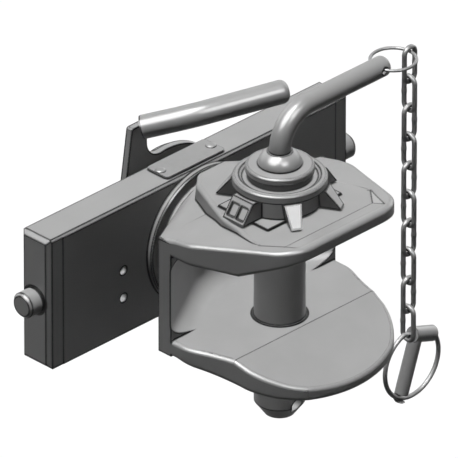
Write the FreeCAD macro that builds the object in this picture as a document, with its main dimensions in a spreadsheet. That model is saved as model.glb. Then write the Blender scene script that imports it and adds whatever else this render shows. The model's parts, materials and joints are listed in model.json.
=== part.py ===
import FreeCAD, Part
import Sketcher
import math
import os

# Height-adjustable clevis coupling with a swivelling jaw and a hand-lifted pin.
# Millimetres. The origin is the coupling point: the pin's axis meets the swivel's axis there,
# half way up the jaw's gap. +X runs along the carrier plate, -Y points out of the jaw's mouth
# and +Z is up, along the pin.

doc = FreeCAD.newDocument("Coupling")
sheet = doc.addObject("Spreadsheet::Sheet", "Sizes")

# Driving sizes
SIZES = {
    # Carrier plate, which slides in a 310 mm ladder frame
    "plate_width": 310,
    "plate_height": 108,
    "plate_thick": 30,
    "plate_front": 82,
    "plate_end_chamfer": 3.5,
    "plate_top_chamfer": 2,
    "guide_land": 14.5,
    "guide_step": 0.3,
    "tapped_hole": 6.8,
    "tapped_hole_x": 79,
    "tapped_hole_top_z": 0.5,
    "tapped_hole_pitch": 23,
    "tapped_hole_deep": 16,
    # Clearances
    "running_gap": 0.08,
    "free_gap": 0.3,
    # Locking bolts and what drives them
    "bolt_diameter": 20,
    "bolt_reach": 13.5,
    "bolt_chamfer": 2,
    "bolt_inner_x": 70,
    "bolt_travel": 14.5,
    "bolt_bore_bottom": 38.5,
    "bolt_ring_width": 1.2,
    "bolt_ring_depth": 0.8,
    "peg_diameter": 8,
    "peg_x": 78,
    "bolt_spring_wire": 2.4,
    "bolt_spring_coils": 5,
    # Swivel: bush, washers and rear disc
    "shank_radius": 27.5,
    "bush_radius": 34,
    "bush_collar_radius": 40,
    "bush_collar": 3,
    "bush_nose_radius": 31.5,
    "friction_ring_over": 1,
    "friction_ring_thick": 5,
    "thrust_washer_radius": 45,
    "thrust_washer_thick": 3.5,
    "rear_disc_radius": 54,
    "rear_disc_thick": 6,
    "rear_disc_chamfer": 1.5,
    "rear_screw": 10,
    "rear_screw_circle": 16,
    "rear_screw_count": 4,
    "rear_screw_deep": 22,
    "rear_screw_head": 4,
    # Sheet cover on the plate's top, its rivets and the swivel brake under it
    "cover_length": 60,
    "cover_width": 22,
    "cover_thick": 2,
    "cover_corner": 3,
    "rivet_x": 26,
    "rivet_diameter": 4,
    "rivet_head": 8,
    "rivet_dome": 2,
    "rivet_deep": 8,
    "brake_diameter": 14,
    "brake_length": 14,
    "brake_spring_wire": 2,
    "brake_spring_coils": 4,
    # Release lever
    "lever_thick": 6,
    "lever_hub_radius": 57,
    "lever_swing": 25,
    "lever_ear_radius": 86,
    "lever_ear_margin": 7,
    "lever_slot_gap": 0.25,
    "lever_arm_outer_x": 44,
    "lever_arm_tip_left": 37,
    "lever_arm_tip_right": 22,
    "lever_arm_top": 87.5,
    "lever_arm_foot": 40,
    "lever_arm_fillet": 14,
    "lever_bar": 18,
    "lever_bar_start_x": 30,
    "lever_bar_start_z": 88,
    "lever_bar_bend_x": 5.5,
    "lever_bar_bend_y": 84,
    "lever_bar_bend_z": 99,
    "lever_bar_end_x": 61.4,
    "lever_bar_end_y": 53,
    "lever_bar_end_z": 106.1,
    "lever_bar_round": 5.6,
    "lever_tip_round": 2,
    "lever_ear_round": 8,
    "lever_bar_bend_radius": 60,
    # Jaw
    "jaw_half_width": 85,
    "jaw_back": 40,
    "jaw_gap": 70,
    "jaw_neck_front": 27,
    "jaw_bottom": 48,
    "jaw_flange_front": 70,
    "jaw_flange_radius": 51,
    "jaw_edge": 3.2,
    "throat_radius": 60,
    "throat_centre": 7,
    "throat_slant": 30,
    "throat_fillet": 13.5,
    # Lower jaw
    "lower_shoulder": 10,
    "lower_side_sag": 1.8,
    "lower_side_in": 14,
    "lower_side_y": 36.7,
    "lower_corner_sag": 4.2,
    "lower_front_in": 42,
    "lower_front_y": 72.3,
    "lower_tip": 82,
    "lower_blend": 20,
    "lower_shoulder_round": 34,
    "lower_fold": 25,
    "lower_tip_drop": 21.7,
    "lower_thick_start": 22,
    "lower_tip_bottom": 65,
    "boss_radius": 30,
    "boss_bottom": 88,
    "boss_taper": 3,
    # Upper jaw
    "upper_shoulder": 9,
    "upper_front_half": 55.4,
    "upper_front": 70,
    "upper_shoulder_round": 24,
    "upper_corner": 28,
    "upper_fold": 27,
    "wing_back_top": 46.5,
    "wing_mid_y": 23,
    "wing_mid_top": 50.9,
    "wing_front_top": 65.8,
    "wing_front_low": 56.6,
    # Raised platform of the upper jaw, and the recess its front end runs out in
    "platform_top": 59.6,
    "platform_round": 3.5,
    "platform_bend": 8,
    "platform_tail_half": 15,
    "platform_back_y": 59.5,
    "platform_back_half": 27,
    "platform_neck_y": 30,
    "platform_neck_half": 40,
    "platform_waist_y": 11.4,
    "platform_waist_half": 48,
    "platform_flare_y": 8.4,
    "platform_flare_half": 51.6,
    "platform_wide_y": 35.4,
    "platform_wide_half": 60.6,
    "platform_front": 46,
    "platform_front_half": 50,
    "recess_back": 30,
    "recess_wide_half": 57.6,
    "recess_front": 50.2,
    "recess_front_half": 45,
    "recess_high": 6,
    "recess_front_run": 17.6,
    "recess_side_run": 8.4,
    "recess_side_lag": 4.6,
    "pad_half_x": 38,
    "pad_half_y": 25.5,
    "pad_height": 1.5,
    # Star crown
    "crown_drum_radius": 31,
    "crown_rim_radius": 35,
    "crown_rim_bottom": 76,
    "crown_top": 82.5,
    "crown_rim_fillet": 2,
    "crown_ring_inner": 30,
    "crown_floor": 80.5,
    "crown_floor_radius": 28,
    "crown_floor_thick": 5,
    "crown_cavity_radius": 26,
    "leg_root_radius": 27,
    "leg_top_radius": 36,
    "leg_foot_radius": 47.4,
    "leg_top_width": 13,
    "leg_foot_width": 8,
    "lug_top_x": 38,
    "lug_foot_x": 48.5,
    "lug_width": 21,
    "pane_width": 7.5,
    "pane_height": 10,
    "pane_deep": 1.6,
    "pane_rib": 1.5,
    "pane_foot": 3.5,
    # Coupling pin
    "pin_diameter": 38,
    "pin_bush_wall": 5,
    "lower_bush_lip": 3,
    "seat_ring_radius": 20.6,
    "seat_ring_high": 0.6,
    "pin_cone_top": 107,
    "pin_tip": 117.5,
    "pin_tip_radius": 11.5,
    "pin_cross_hole": 11,
    "pin_cross_hole_z": 106,
    "buffer_radius": 23.5,
    "buffer_thick": 5,
    "collar_radius": 25.3,
    "collar_thick": 5.7,
    "collar_fillet": 2,
    "collar_bore": 14,
    "dome_foot_radius": 16.4,
    "dome_top_radius": 9.5,
    "dome_top": 101.5,
    "handle_bar": 16,
    "handle_height": 130,
    "handle_bend": 28.5,
    "handle_end": 109,
    "handle_end_round": 4.5,
    "handle_hole": 5.4,
    "handle_hole_x": 101,
    # Ring, chain and linch pin
    "ring_wire": 2.5,
    "ring_radius": 17,
    "ring_centre_x": 117,
    "ring_rise": 0.8,
    "link_wire": 3.8,
    "link_pitch": 24.5,
    "link_outer_width": 14.6,
    "link_gap": 0.2,
    "link_count": 10,
    "bail_radius": 28,
    "bail_wire": 3.5,
    "bail_chord": 22.6,
    "bail_hook": 12,
    "linch_tilt": 19,
    "barrel_radius": 6.1,
    "barrel_left": 7.3,
    "barrel_right": 14.8,
    "barrel_bore_gap": 0.08,
    "barrel_seat": 4,
    "notch_gap": 0.35,
    "notch_rise": 1.5,
    "linch_diameter": 10.6,
    "linch_offset": 3,
    "linch_tip": 31,
    "linch_nose": 2,
}

for row, (alias, value) in enumerate(SIZES.items(), start=1):
    sheet.set("A%d" % row, alias.replace("_", " "))
    sheet.set("B%d" % row, str(value))
    sheet.setAlias("B%d" % row, alias)
doc.recompute()


class Length:
    """A size with the sheet formula it comes from, so what is drawn with it stays tied to it."""

    def __init__(self, value, formula):
        self.value = value
        self.formula = formula

    def joined(self, sign, other, value):
        return Length(value, "(%s %s %s)" % (self.formula, sign, as_length(other).formula))

    def __add__(self, other):
        return self.joined("+", other, self.value + as_length(other).value)

    def __sub__(self, other):
        return self.joined("-", other, self.value - as_length(other).value)

    def __mul__(self, other):
        return self.joined("*", other, self.value * as_length(other).value)

    def __truediv__(self, other):
        return self.joined("/", other, self.value / as_length(other).value)

    def __neg__(self):
        return Length(-self.value, "(-1 * %s)" % self.formula)

    def __radd__(self, other):
        return as_length(other) + self

    def __rsub__(self, other):
        return as_length(other) - self

    def __rmul__(self, other):
        return as_length(other) * self

    def __float__(self):
        return float(self.value)


def as_length(thing):
    """A plain number counts as a length of its own."""
    if isinstance(thing, Length):
        return thing
    return Length(float(thing), repr(float(thing)))


def size(alias):
    """The sheet's value of that name, with its formula."""
    return Length(float(sheet.get(alias)), "Sizes." + alias)


def sine(angle):
    return Length(math.sin(math.radians(float(angle))), "sin(%s)" % as_length(angle).formula)


def cosine(angle):
    return Length(math.cos(math.radians(float(angle))), "cos(%s)" % as_length(angle).formula)


def bind(thing, **links):
    """Set properties of an object from lengths, and keep them linked to the sheet."""
    for name, length in links.items():
        thing.setExpression(name, as_length(length).formula)


def place(thing, x=0, y=0, z=0):
    """Put an object at a linked position."""
    for axis, length in zip("xyz", (x, y, z)):
        thing.setExpression(".Placement.Base." + axis, as_length(length).formula)


# Drawing helpers


def new_body(label):
    body = doc.addObject("PartDesign::Body", label)
    body.Label = label
    return body


def new_sketch(body, name, role, lift=0):
    """A sketch on one of the body's own origin planes, lifted along that plane's normal."""
    plane = next(item for item in body.Origin.OriginFeatures if item.Role == role)
    sketch = body.newObject("Sketcher::SketchObject", name)
    sketch.AttachmentSupport = [(plane, "")]
    sketch.MapMode = "FlatFace"
    sketch.setExpression(".AttachmentOffset.Base.z", as_length(lift).formula)
    return sketch


def pin_point(sketch, edge, end, x, y):
    """Hold one end of an edge at linked distances from the sketch's origin."""
    for kind, length in (("DistanceX", x), ("DistanceY", y)):
        number = sketch.addConstraint(
            Sketcher.Constraint(kind, -1, 1, edge, end, float(as_length(length))))
        sketch.setExpression("Constraints[%d]" % number, as_length(length).formula)


def draw_outline(sketch, corners):
    """A closed outline. A corner is (x, y), or (x, y, sag) where an arc leads to it:
    sag is how far the arc bulges to the right of its chord."""
    points = [FreeCAD.Vector(float(as_length(c[0])), float(as_length(c[1])), 0) for c in corners]
    edges = []
    for number, corner in enumerate(corners):
        start, end = points[number - 1], points[number]
        if len(corner) == 3:
            sag = float(as_length(corner[2]))
            chord = end - start
            side = FreeCAD.Vector(chord.y, -chord.x, 0).normalize()
            middle = (start + end) * 0.5 + side * sag
            edges.append(sketch.addGeometry(Part.Arc(start, middle, end)))
        else:
            edges.append(sketch.addGeometry(Part.LineSegment(start, end)))
    for number, corner in enumerate(corners):
        edge, following = edges[number], edges[(number + 1) % len(edges)]
        ends = end_numbers(sketch, edge, points[number - 1], points[number])
        next_ends = end_numbers(sketch, following, points[number], points[(number + 1) % len(points)])
        sketch.addConstraint(Sketcher.Constraint("Coincident", edge, ends[1], following, next_ends[0]))
        pin_point(sketch, edge, ends[1], corner[0], corner[1])
        if len(corner) == 3:
            before = corners[number - 1]
            half_x = (as_length(corner[0]) - before[0]) / 2
            half_y = (as_length(corner[1]) - before[1]) / 2
            sag = as_length(corner[2])
            radius = (half_x * half_x + half_y * half_y) / (2 * sag) + sag / 2
            bend = sketch.addConstraint(Sketcher.Constraint("Radius", edge, abs(float(radius))))
            sketch.setExpression("Constraints[%d]" % bend, "abs(%s)" % radius.formula)


def end_numbers(sketch, edge, start, end):
    """Which of an edge's two points lies at the start of the run, and which at its end."""
    first = sketch.getPoint(edge, 1)
    return (1, 2) if (first - start).Length < (first - end).Length else (2, 1)


def draw_circle(sketch, x, y, radius):
    centre = FreeCAD.Vector(float(as_length(x)), float(as_length(y)), 0)
    edge = sketch.addGeometry(
        Part.Circle(centre, FreeCAD.Vector(0, 0, 1), float(as_length(radius))))
    pin_point(sketch, edge, 3, x, y)
    number = sketch.addConstraint(Sketcher.Constraint("Radius", edge, float(as_length(radius))))
    sketch.setExpression("Constraints[%d]" % number, as_length(radius).formula)


def draw_box(sketch, left, right, bottom, top):
    draw_outline(sketch, [(left, bottom), (right, bottom), (right, top), (left, top)])


def pad(body, sketch, length, both_ways=False, backwards=False):
    """Raise a sketch along its normal, the other way, or half each way."""
    feature = body.newObject("PartDesign::Pad", sketch.Name + "_pad")
    feature.Profile = sketch
    feature.SideType = "Symmetric" if both_ways else "One side"
    feature.Reversed = backwards
    bind(feature, Length=length)
    return feature


def pocket(body, sketch, length, both_ways=False, along_normal=False):
    """Cut a sketch out of the body, and make sure that it did cut."""
    doc.recompute()
    before = body.Shape.Volume
    feature = body.newObject("PartDesign::Pocket", sketch.Name + "_pocket")
    feature.Profile = sketch
    feature.SideType = "Symmetric" if both_ways else "One side"
    feature.Reversed = along_normal
    bind(feature, Length=length)
    doc.recompute()
    if not body.Shape.Volume < before - 0.1:
        raise RuntimeError(sketch.Name + " cuts nothing")
    return feature


def turned(label, role, axis, profile, y=0):
    """A turned piece: its half profile is spun about one of the sketch's own axes."""
    body = new_body(label)
    sketch = new_sketch(body, label + "_profile", role)
    draw_outline(sketch, profile)
    spin = body.newObject("PartDesign::Revolution", label + "_turn")
    spin.Profile = sketch
    spin.ReferenceAxis = (sketch, [axis])
    spin.Angle = 360
    place(body, y=y)
    doc.recompute()
    return body


def edges_where(feature, wanted):
    """Names of the edges of a feature whose middle point and shape pass a test."""
    names = []
    for number, edge in enumerate(feature.Shape.Edges, start=1):
        middle = edge.valueAt((edge.FirstParameter + edge.LastParameter) / 2)
        if wanted(edge, middle):
            names.append("Edge%d" % number)
    if not names:
        raise RuntimeError("no edge found on " + feature.Name)
    return names


def round_edges(body, radius, wanted, kind="Fillet"):
    """Round or chamfer the chosen edges of a body's last feature."""
    doc.recompute()
    base = body.Tip
    feature = body.newObject("PartDesign::" + kind, base.Name + "_" + kind.lower())
    feature.Base = (base, edges_where(base, wanted))
    if kind == "Fillet":
        bind(feature, Radius=radius)
    else:
        bind(feature, Size=radius)
    doc.recompute()
    if "Invalid" in feature.State:
        raise RuntimeError(feature.Name + " can't be rounded")
    return feature


def spans(edge):
    """How far an edge reaches along X, Y and Z."""
    box = edge.BoundBox
    return box.XLength, box.YLength, box.ZLength


def near(one, other, room=0.05):
    return abs(float(one) - float(other)) < room


def primitive(kind, label, **links):
    thing = doc.addObject("Part::" + kind, label)
    bind(thing, **links)
    return thing


def fused(label, things):
    whole = doc.addObject("Part::MultiFuse", label)
    whole.Shapes = things
    return whole


def cut(label, base, tool):
    rest = doc.addObject("Part::Cut", label)
    rest.Base = base
    rest.Tool = tool
    return rest


def drawn(label, shape):
    """A shape made straight from curves, where no primitive or feature fits."""
    thing = doc.addObject("Part::Feature", label)
    thing.Shape = shape
    return thing


def vector(x, y, z):
    return FreeCAD.Vector(float(as_length(x)), float(as_length(y)), float(as_length(z)))


NODES = []


def keep(thing, label):
    """Name a finished piece: its label is its file."""
    thing.Label = label
    NODES.append(thing)
    return thing


# Places that several pieces share
bolt_line = size("plate_front") + size("plate_thick") / 2
plate_back = size("plate_front") + size("plate_thick")
plate_top = size("plate_height") / 2
plate_end = size("plate_width") / 2
gap_half = size("jaw_gap") / 2
lever_front = plate_back + size("bush_collar")
lever_back = lever_front + size("lever_thick")
disc_front = lever_back + size("free_gap")
bolt_bore_radius = size("bolt_diameter") / 2 + size("running_gap")
washer_front = size("plate_front") - size("friction_ring_thick") - size("thrust_washer_thick")
shank_bore = size("shank_radius") + size("running_gap")
pin_radius = size("pin_diameter") / 2
pin_bore = pin_radius + size("running_gap")
bush_outer = pin_radius + size("pin_bush_wall")


def carrier_plate():
    """The block: guide lands at both ends, swivel bore, bolt bores, peg slots and brake bore."""
    body = new_body("carrier_plate")
    front, back = size("plate_front"), plate_back
    chamfer, step = size("plate_end_chamfer"), size("guide_step")
    land = plate_end - size("guide_land")
    plan = new_sketch(body, "plate_plan", "XY_Plane")
    draw_outline(plan, [
        (-land, front), (land, front), (land, front + step), (plate_end - chamfer, front + step),
        (plate_end, front + step + chamfer), (plate_end, back - step - chamfer),
        (plate_end - chamfer, back - step), (land, back - step), (land, back),
        (-land, back), (-land, back - step), (-plate_end + chamfer, back - step),
        (-plate_end, back - step - chamfer), (-plate_end, front + step + chamfer),
        (-plate_end + chamfer, front + step), (-land, front + step)])
    pad(body, plan, size("plate_height"), both_ways=True)
    round_edges(body, chamfer, lambda edge, middle: near(abs(middle.x), plate_end)
                and near(abs(middle.z), plate_top) and spans(edge)[1] > 5, kind="Chamfer")
    bevel = new_sketch(body, "plate_top_bevel", "YZ_Plane")
    bevel_size = size("plate_top_chamfer")
    draw_outline(bevel, [(front - 1, plate_top - bevel_size - 1), (front + bevel_size + 1, plate_top + 1),
                         (front - 1, plate_top + 1)])
    draw_outline(bevel, [(back + 1, plate_top - bevel_size - 1), (back + 1, plate_top + 1),
                         (back - bevel_size - 1, plate_top + 1)])
    pocket(body, bevel, size("plate_width") + 2, both_ways=True)
    bore = new_sketch(body, "swivel_bore", "XZ_Plane", lift=-front + 1)
    draw_circle(bore, 0, 0, size("bush_radius"))
    pocket(body, bore, size("plate_thick") + 2)
    for side, name in ((1, "right"), (-1, "left")):
        hole = new_sketch(body, "bolt_bore_" + name, "YZ_Plane", lift=side * size("bolt_bore_bottom"))
        draw_circle(hole, bolt_line, 0, bolt_bore_radius)
        pocket(body, hole, plate_end, along_normal=side > 0)
        ring = new_sketch(body, "bolt_ring_" + name, "YZ_Plane",
                          lift=side * (plate_end - size("bolt_ring_depth")))
        draw_circle(ring, bolt_line, 0, bolt_bore_radius + size("bolt_ring_width"))
        pocket(body, ring, size("bolt_ring_depth") * 2, along_normal=side > 0)
        slot = new_sketch(body, "peg_slot_" + name, "XZ_Plane", lift=-bolt_line)
        half = size("peg_diameter") / 2 + size("free_gap") * 2
        inner = size("peg_x") - size("bolt_travel") - half
        outer = size("peg_x") + half
        if side > 0:
            draw_box(slot, inner, outer, -half, half)
        else:
            draw_box(slot, -outer, -inner, -half, half)
        pocket(body, slot, size("plate_thick"))
    tapped = new_sketch(body, "tapped_holes", "XZ_Plane", lift=-front)
    draw_circle(tapped, -size("tapped_hole_x"), -size("tapped_hole_top_z") - size("tapped_hole_pitch"),
                size("tapped_hole") / 2)
    pocket(body, tapped, size("tapped_hole_deep"))
    upper = new_sketch(body, "tapped_hole_upper", "XZ_Plane", lift=-front)
    draw_circle(upper, -size("tapped_hole_x"), -size("tapped_hole_top_z"), size("tapped_hole") / 2)
    pocket(body, upper, size("plate_thick") / 2 - bolt_bore_radius + 1)
    brake = new_sketch(body, "brake_bore", "XY_Plane")
    draw_circle(brake, 0, bolt_line, size("brake_diameter") / 2 + size("running_gap"))
    pocket(body, brake, plate_top + 1, along_normal=True)
    rivets = new_sketch(body, "rivet_holes", "XY_Plane", lift=plate_top - size("rivet_deep"))
    draw_circle(rivets, size("rivet_x"), bolt_line, size("rivet_diameter") / 2)
    draw_circle(rivets, -size("rivet_x"), bolt_line, size("rivet_diameter") / 2)
    pocket(body, rivets, size("rivet_deep") + 1, along_normal=True)
    return keep(body, "carrier_plate")


def swivel_bush():
    """Bush pressed in from the back: its collar spaces the lever, its nose carries it."""
    body = turned("swivel_bush", "XY_Plane", "V_Axis", [
        (shank_bore, size("plate_front") + 0.5), (size("bush_radius"), size("plate_front") + 0.5),
        (size("bush_radius"), plate_back), (size("bush_collar_radius"), plate_back),
        (size("bush_collar_radius"), lever_front), (size("bush_nose_radius"), lever_front),
        (size("bush_nose_radius"), lever_back), (shank_bore, lever_back)])
    hole = new_sketch(body, "bush_brake_hole", "XY_Plane")
    draw_circle(hole, 0, bolt_line, size("brake_diameter") / 2 + size("running_gap"))
    pocket(body, hole, size("bush_radius") + 1, along_normal=True)
    return keep(body, "swivel_bush")


def friction_ring():
    back = size("plate_front")
    front = back - size("friction_ring_thick")
    outer = plate_top + size("friction_ring_over")
    return keep(turned("friction_ring", "XY_Plane", "V_Axis", [
        (shank_bore + size("free_gap"), front), (outer - 1, front), (outer, front + 1),
        (outer, back), (shank_bore + size("free_gap"), back)]), "friction_ring")


def thrust_washer():
    front = washer_front
    back = size("plate_front") - size("friction_ring_thick") - size("running_gap")
    return keep(turned("thrust_washer", "XY_Plane", "V_Axis", [
        (size("shank_radius"), front), (size("thrust_washer_radius"), front),
        (size("thrust_washer_radius"), back), (size("shank_radius"), back)]), "thrust_washer")


def rear_disc():
    """Disc behind the lever, screwed to the shank's end through four holes."""
    front, back = disc_front, disc_front + size("rear_disc_thick")
    outer, chamfer = size("rear_disc_radius"), size("rear_disc_chamfer")
    body = turned("rear_disc", "XY_Plane", "V_Axis", [
        (0, front), (outer, front), (outer, back - chamfer), (outer - chamfer, back), (0, back)])
    holes = new_sketch(body, "rear_disc_holes", "XZ_Plane", lift=-front + 1)
    screw_circles(holes)
    pocket(body, holes, size("rear_disc_thick") + 2)
    return keep(body, "rear_disc")


def screw_circles(sketch):
    """The screws' places on their circle."""
    count = int(float(size("rear_screw_count")))
    for number in range(count):
        angle = as_length(45) + 360.0 / count * number
        draw_circle(sketch, size("rear_screw_circle") * cosine(angle),
                    size("rear_screw_circle") * sine(angle), size("rear_screw") / 2)


def rear_disc_screws():
    """Low-headed socket screws that hold the disc on the shank."""
    screws = []
    count = int(float(size("rear_screw_count")))
    back = disc_front + size("rear_disc_thick")
    for number in range(count):
        angle = as_length(45) + 360.0 / count * number
        x = size("rear_screw_circle") * cosine(angle)
        z = size("rear_screw_circle") * sine(angle)
        rod = primitive("Cylinder", "screw_rod_%d" % number, Radius=size("rear_screw") / 2,
                        Height=size("rear_disc_thick") + size("rear_screw_deep"))
        head = primitive("Cylinder", "screw_head_%d" % number, Radius=size("rear_screw") * 0.8,
                         Height=size("rear_screw_head"))
        socket = primitive("Prism", "screw_socket_%d" % number, Circumradius=size("rear_screw") * 0.34,
                           Height=size("rear_screw_head"))
        for thing, y in ((rod, back - size("rear_disc_thick") - size("rear_screw_deep")),
                         (head, back), (socket, back + size("rear_screw_head") / 3)):
            thing.Placement.Rotation = FreeCAD.Rotation(FreeCAD.Vector(1, 0, 0), -90)
            place(thing, x, y, z)
        screws.append(cut("screw_%d" % number, fused("screw_blank_%d" % number, [rod, head]), socket))
    group = doc.addObject("Part::Compound", "rear_disc_screws")
    group.Links = screws
    return keep(group, "rear_disc_screws")


def cover_clip():
    """Sheet cover over the brake bore, with a small hole for each rivet."""
    body = new_body("top_cover_clip")
    plan = new_sketch(body, "cover_plan", "XY_Plane", lift=plate_top)
    half, wide = size("cover_length") / 2, size("cover_width") / 2
    draw_box(plan, -half, half, bolt_line - wide, bolt_line + wide)
    pad(body, plan, size("cover_thick"))
    round_edges(body, size("cover_corner"), lambda edge, middle: spans(edge)[2] > 1)
    holes = new_sketch(body, "cover_holes", "XY_Plane", lift=plate_top)
    for side in (1, -1):
        draw_circle(holes, side * size("rivet_x"), bolt_line, size("rivet_diameter") / 2)
    pocket(body, holes, size("cover_thick") + 1, along_normal=True)
    return keep(body, "top_cover_clip")


def cover_rivets():
    """Two domed rivets, turned about their own axis and set side by side."""
    parts = []
    seat = plate_top + size("cover_thick")
    stem, head = size("rivet_diameter") / 2, size("rivet_head") / 2
    for side, name in ((-1, "left"), (1, "right")):
        rivet = turned("rivet_" + name, "XZ_Plane", "V_Axis", [
            (0, plate_top - size("rivet_deep") + size("free_gap")),
            (stem, plate_top - size("rivet_deep") + size("free_gap")), (stem, seat), (head, seat),
            (head, seat + size("rivet_dome") / 3), (head * 0.7, seat + size("rivet_dome") * 0.8),
            (head * 0.3, seat + size("rivet_dome")), (0, seat + size("rivet_dome"))])
        place(rivet, side * size("rivet_x"), bolt_line, 0)
        parts.append(rivet)
    group = doc.addObject("Part::Compound", "cover_rivets")
    group.Links = parts
    return keep(group, "cover_rivets")


def brake_plug():
    """Plug that the spring presses on the shank, so that the jaw swivels stiffly."""
    radius = size("brake_diameter") / 2
    low = size("shank_radius") + size("running_gap") / 2
    body = new_body("brake_plug")
    disc = new_sketch(body, "brake_plug_disc", "XY_Plane", lift=low)
    draw_circle(disc, 0, bolt_line, radius)
    pad(body, disc, size("brake_length"))
    return keep(body, "brake_plug")


def coil(label, radius, wire, length, turns, start, direction):
    """A closed-ended compression spring as one swept wire, from start along direction."""
    pitch = (float(length) - float(wire)) / turns
    helix = Part.makeHelix(pitch, pitch * turns, float(radius))
    circle = Part.makeCircle(float(wire) / 2, FreeCAD.Vector(float(radius), 0, 0),
                             FreeCAD.Vector(0, 1, pitch / (2 * math.pi * float(radius))))
    swept = Part.Wire(helix.Edges).makePipeShell([Part.Wire([circle])], True, True)
    spring = drawn(label, swept)
    turn = FreeCAD.Rotation(FreeCAD.Vector(0, 0, 1), direction)
    spring.Placement = FreeCAD.Placement(start + direction * (float(wire) / 2), turn)
    return keep(spring, label)


def brake_spring():
    wire = size("brake_spring_wire")
    low = size("shank_radius") + size("running_gap") / 2 + size("brake_length")
    length = plate_top - low
    radius = size("brake_diameter") / 2 - wire / 2 - size("free_gap")
    coil("brake_spring", radius, wire, float(length) - 0.1, float(size("brake_spring_coils")),
         vector(0, bolt_line, low + 0.05), FreeCAD.Vector(0, 0, 1))


def locking_bolts():
    """A bolt, its drive peg and its spring at each end of the plate."""
    outer = plate_end + size("bolt_reach")
    radius, chamfer = size("bolt_diameter") / 2, size("bolt_chamfer")
    for side, name in ((-1, "left"), (1, "right")):
        inner_x, outer_x = side * size("bolt_inner_x"), side * outer
        bolt = turned("locking_bolt_" + name, "XY_Plane", "H_Axis", [
            (inner_x, 0), (inner_x, radius - 1), (inner_x + side, radius), (side * plate_end, radius),
            (side * plate_end, radius - size("bolt_ring_depth")),
            (side * (plate_end + size("bolt_ring_width")), radius - size("bolt_ring_depth")),
            (side * (plate_end + size("bolt_ring_width")), radius),
            (outer_x - side * chamfer, radius), (outer_x, radius - chamfer), (outer_x, 0)], y=bolt_line)
        hole = new_sketch(bolt, "bolt_hole_" + name, "XZ_Plane", lift=radius / 2)
        draw_circle(hole, side * size("peg_x"), 0, size("peg_diameter") / 2)
        pocket(bolt, hole, radius * 3)
        keep(bolt, "locking_bolt_" + name)
        peg = turned("drive_peg_" + name, "XY_Plane", "V_Axis", [
            (0, bolt_line - radius / 2), (size("peg_diameter") / 2, bolt_line - radius / 2),
            (size("peg_diameter") / 2, lever_back - 0.5), (size("peg_diameter") / 2 - 0.5, lever_back),
            (0, lever_back)])
        place(peg, side * size("peg_x"), 0, 0)
        keep(peg, "drive_peg_" + name)
        wire = size("bolt_spring_wire")
        length = size("bolt_inner_x") - size("bolt_bore_bottom")
        coil("bolt_spring_" + name, radius - wire / 2 - size("free_gap"), wire, float(length) - 0.1,
             float(size("bolt_spring_coils")),
             vector(side * (size("bolt_bore_bottom") + 0.05), bolt_line, 0), FreeCAD.Vector(side, 0, 0))


def spiral_slot(label, turn):
    """Cam slot for a drive peg. Its middle line comes in by the bolt's travel over the lever's
    swing, evenly, so the bolt moves by the same amount for each degree."""
    half = float(size("peg_diameter")) / 2 + float(size("lever_slot_gap"))
    outer = float(size("peg_x"))
    travel = float(size("bolt_travel"))
    swing = math.radians(float(size("lever_swing")))
    spare = math.radians(1)
    y = float(lever_front) - 1

    def middle(angle):
        reach = outer - travel * angle / swing
        return reach, FreeCAD.Vector(reach * math.cos(angle), y, -reach * math.sin(angle))

    def edge_points(side):
        points = []
        for step in range(13):
            angle = -spare + (swing + 2 * spare) * step / 12
            reach, point = middle(angle)
            along = FreeCAD.Vector(-math.cos(angle) * travel / swing - reach * math.sin(angle), 0,
                                   math.sin(angle) * travel / swing - reach * math.cos(angle))
            along.normalize()
            points.append((point + FreeCAD.Vector(along.z, 0, -along.x) * side * half, point, along))
        return points

    one, other = edge_points(1), edge_points(-1)
    curves = []
    for points in (one, other):
        curve = Part.BSplineCurve()
        curve.interpolate([p[0] for p in points])
        curves.append(curve.toShape())
    far_end = Part.Arc(one[-1][0], one[-1][1] + one[-1][2] * half, other[-1][0]).toShape()
    near_end = Part.Arc(one[0][0], one[0][1] - one[0][2] * half, other[0][0]).toShape()
    wire = Part.Wire(Part.__sortEdges__([curves[0], far_end, curves[1], near_end]))
    slot = Part.Face(wire).extrude(FreeCAD.Vector(0, float(size("lever_thick")) + 2, 0))
    slot.rotate(FreeCAD.Vector(0, 0, 0), FreeCAD.Vector(0, 1, 0), turn)
    return drawn(label, slot)


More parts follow.
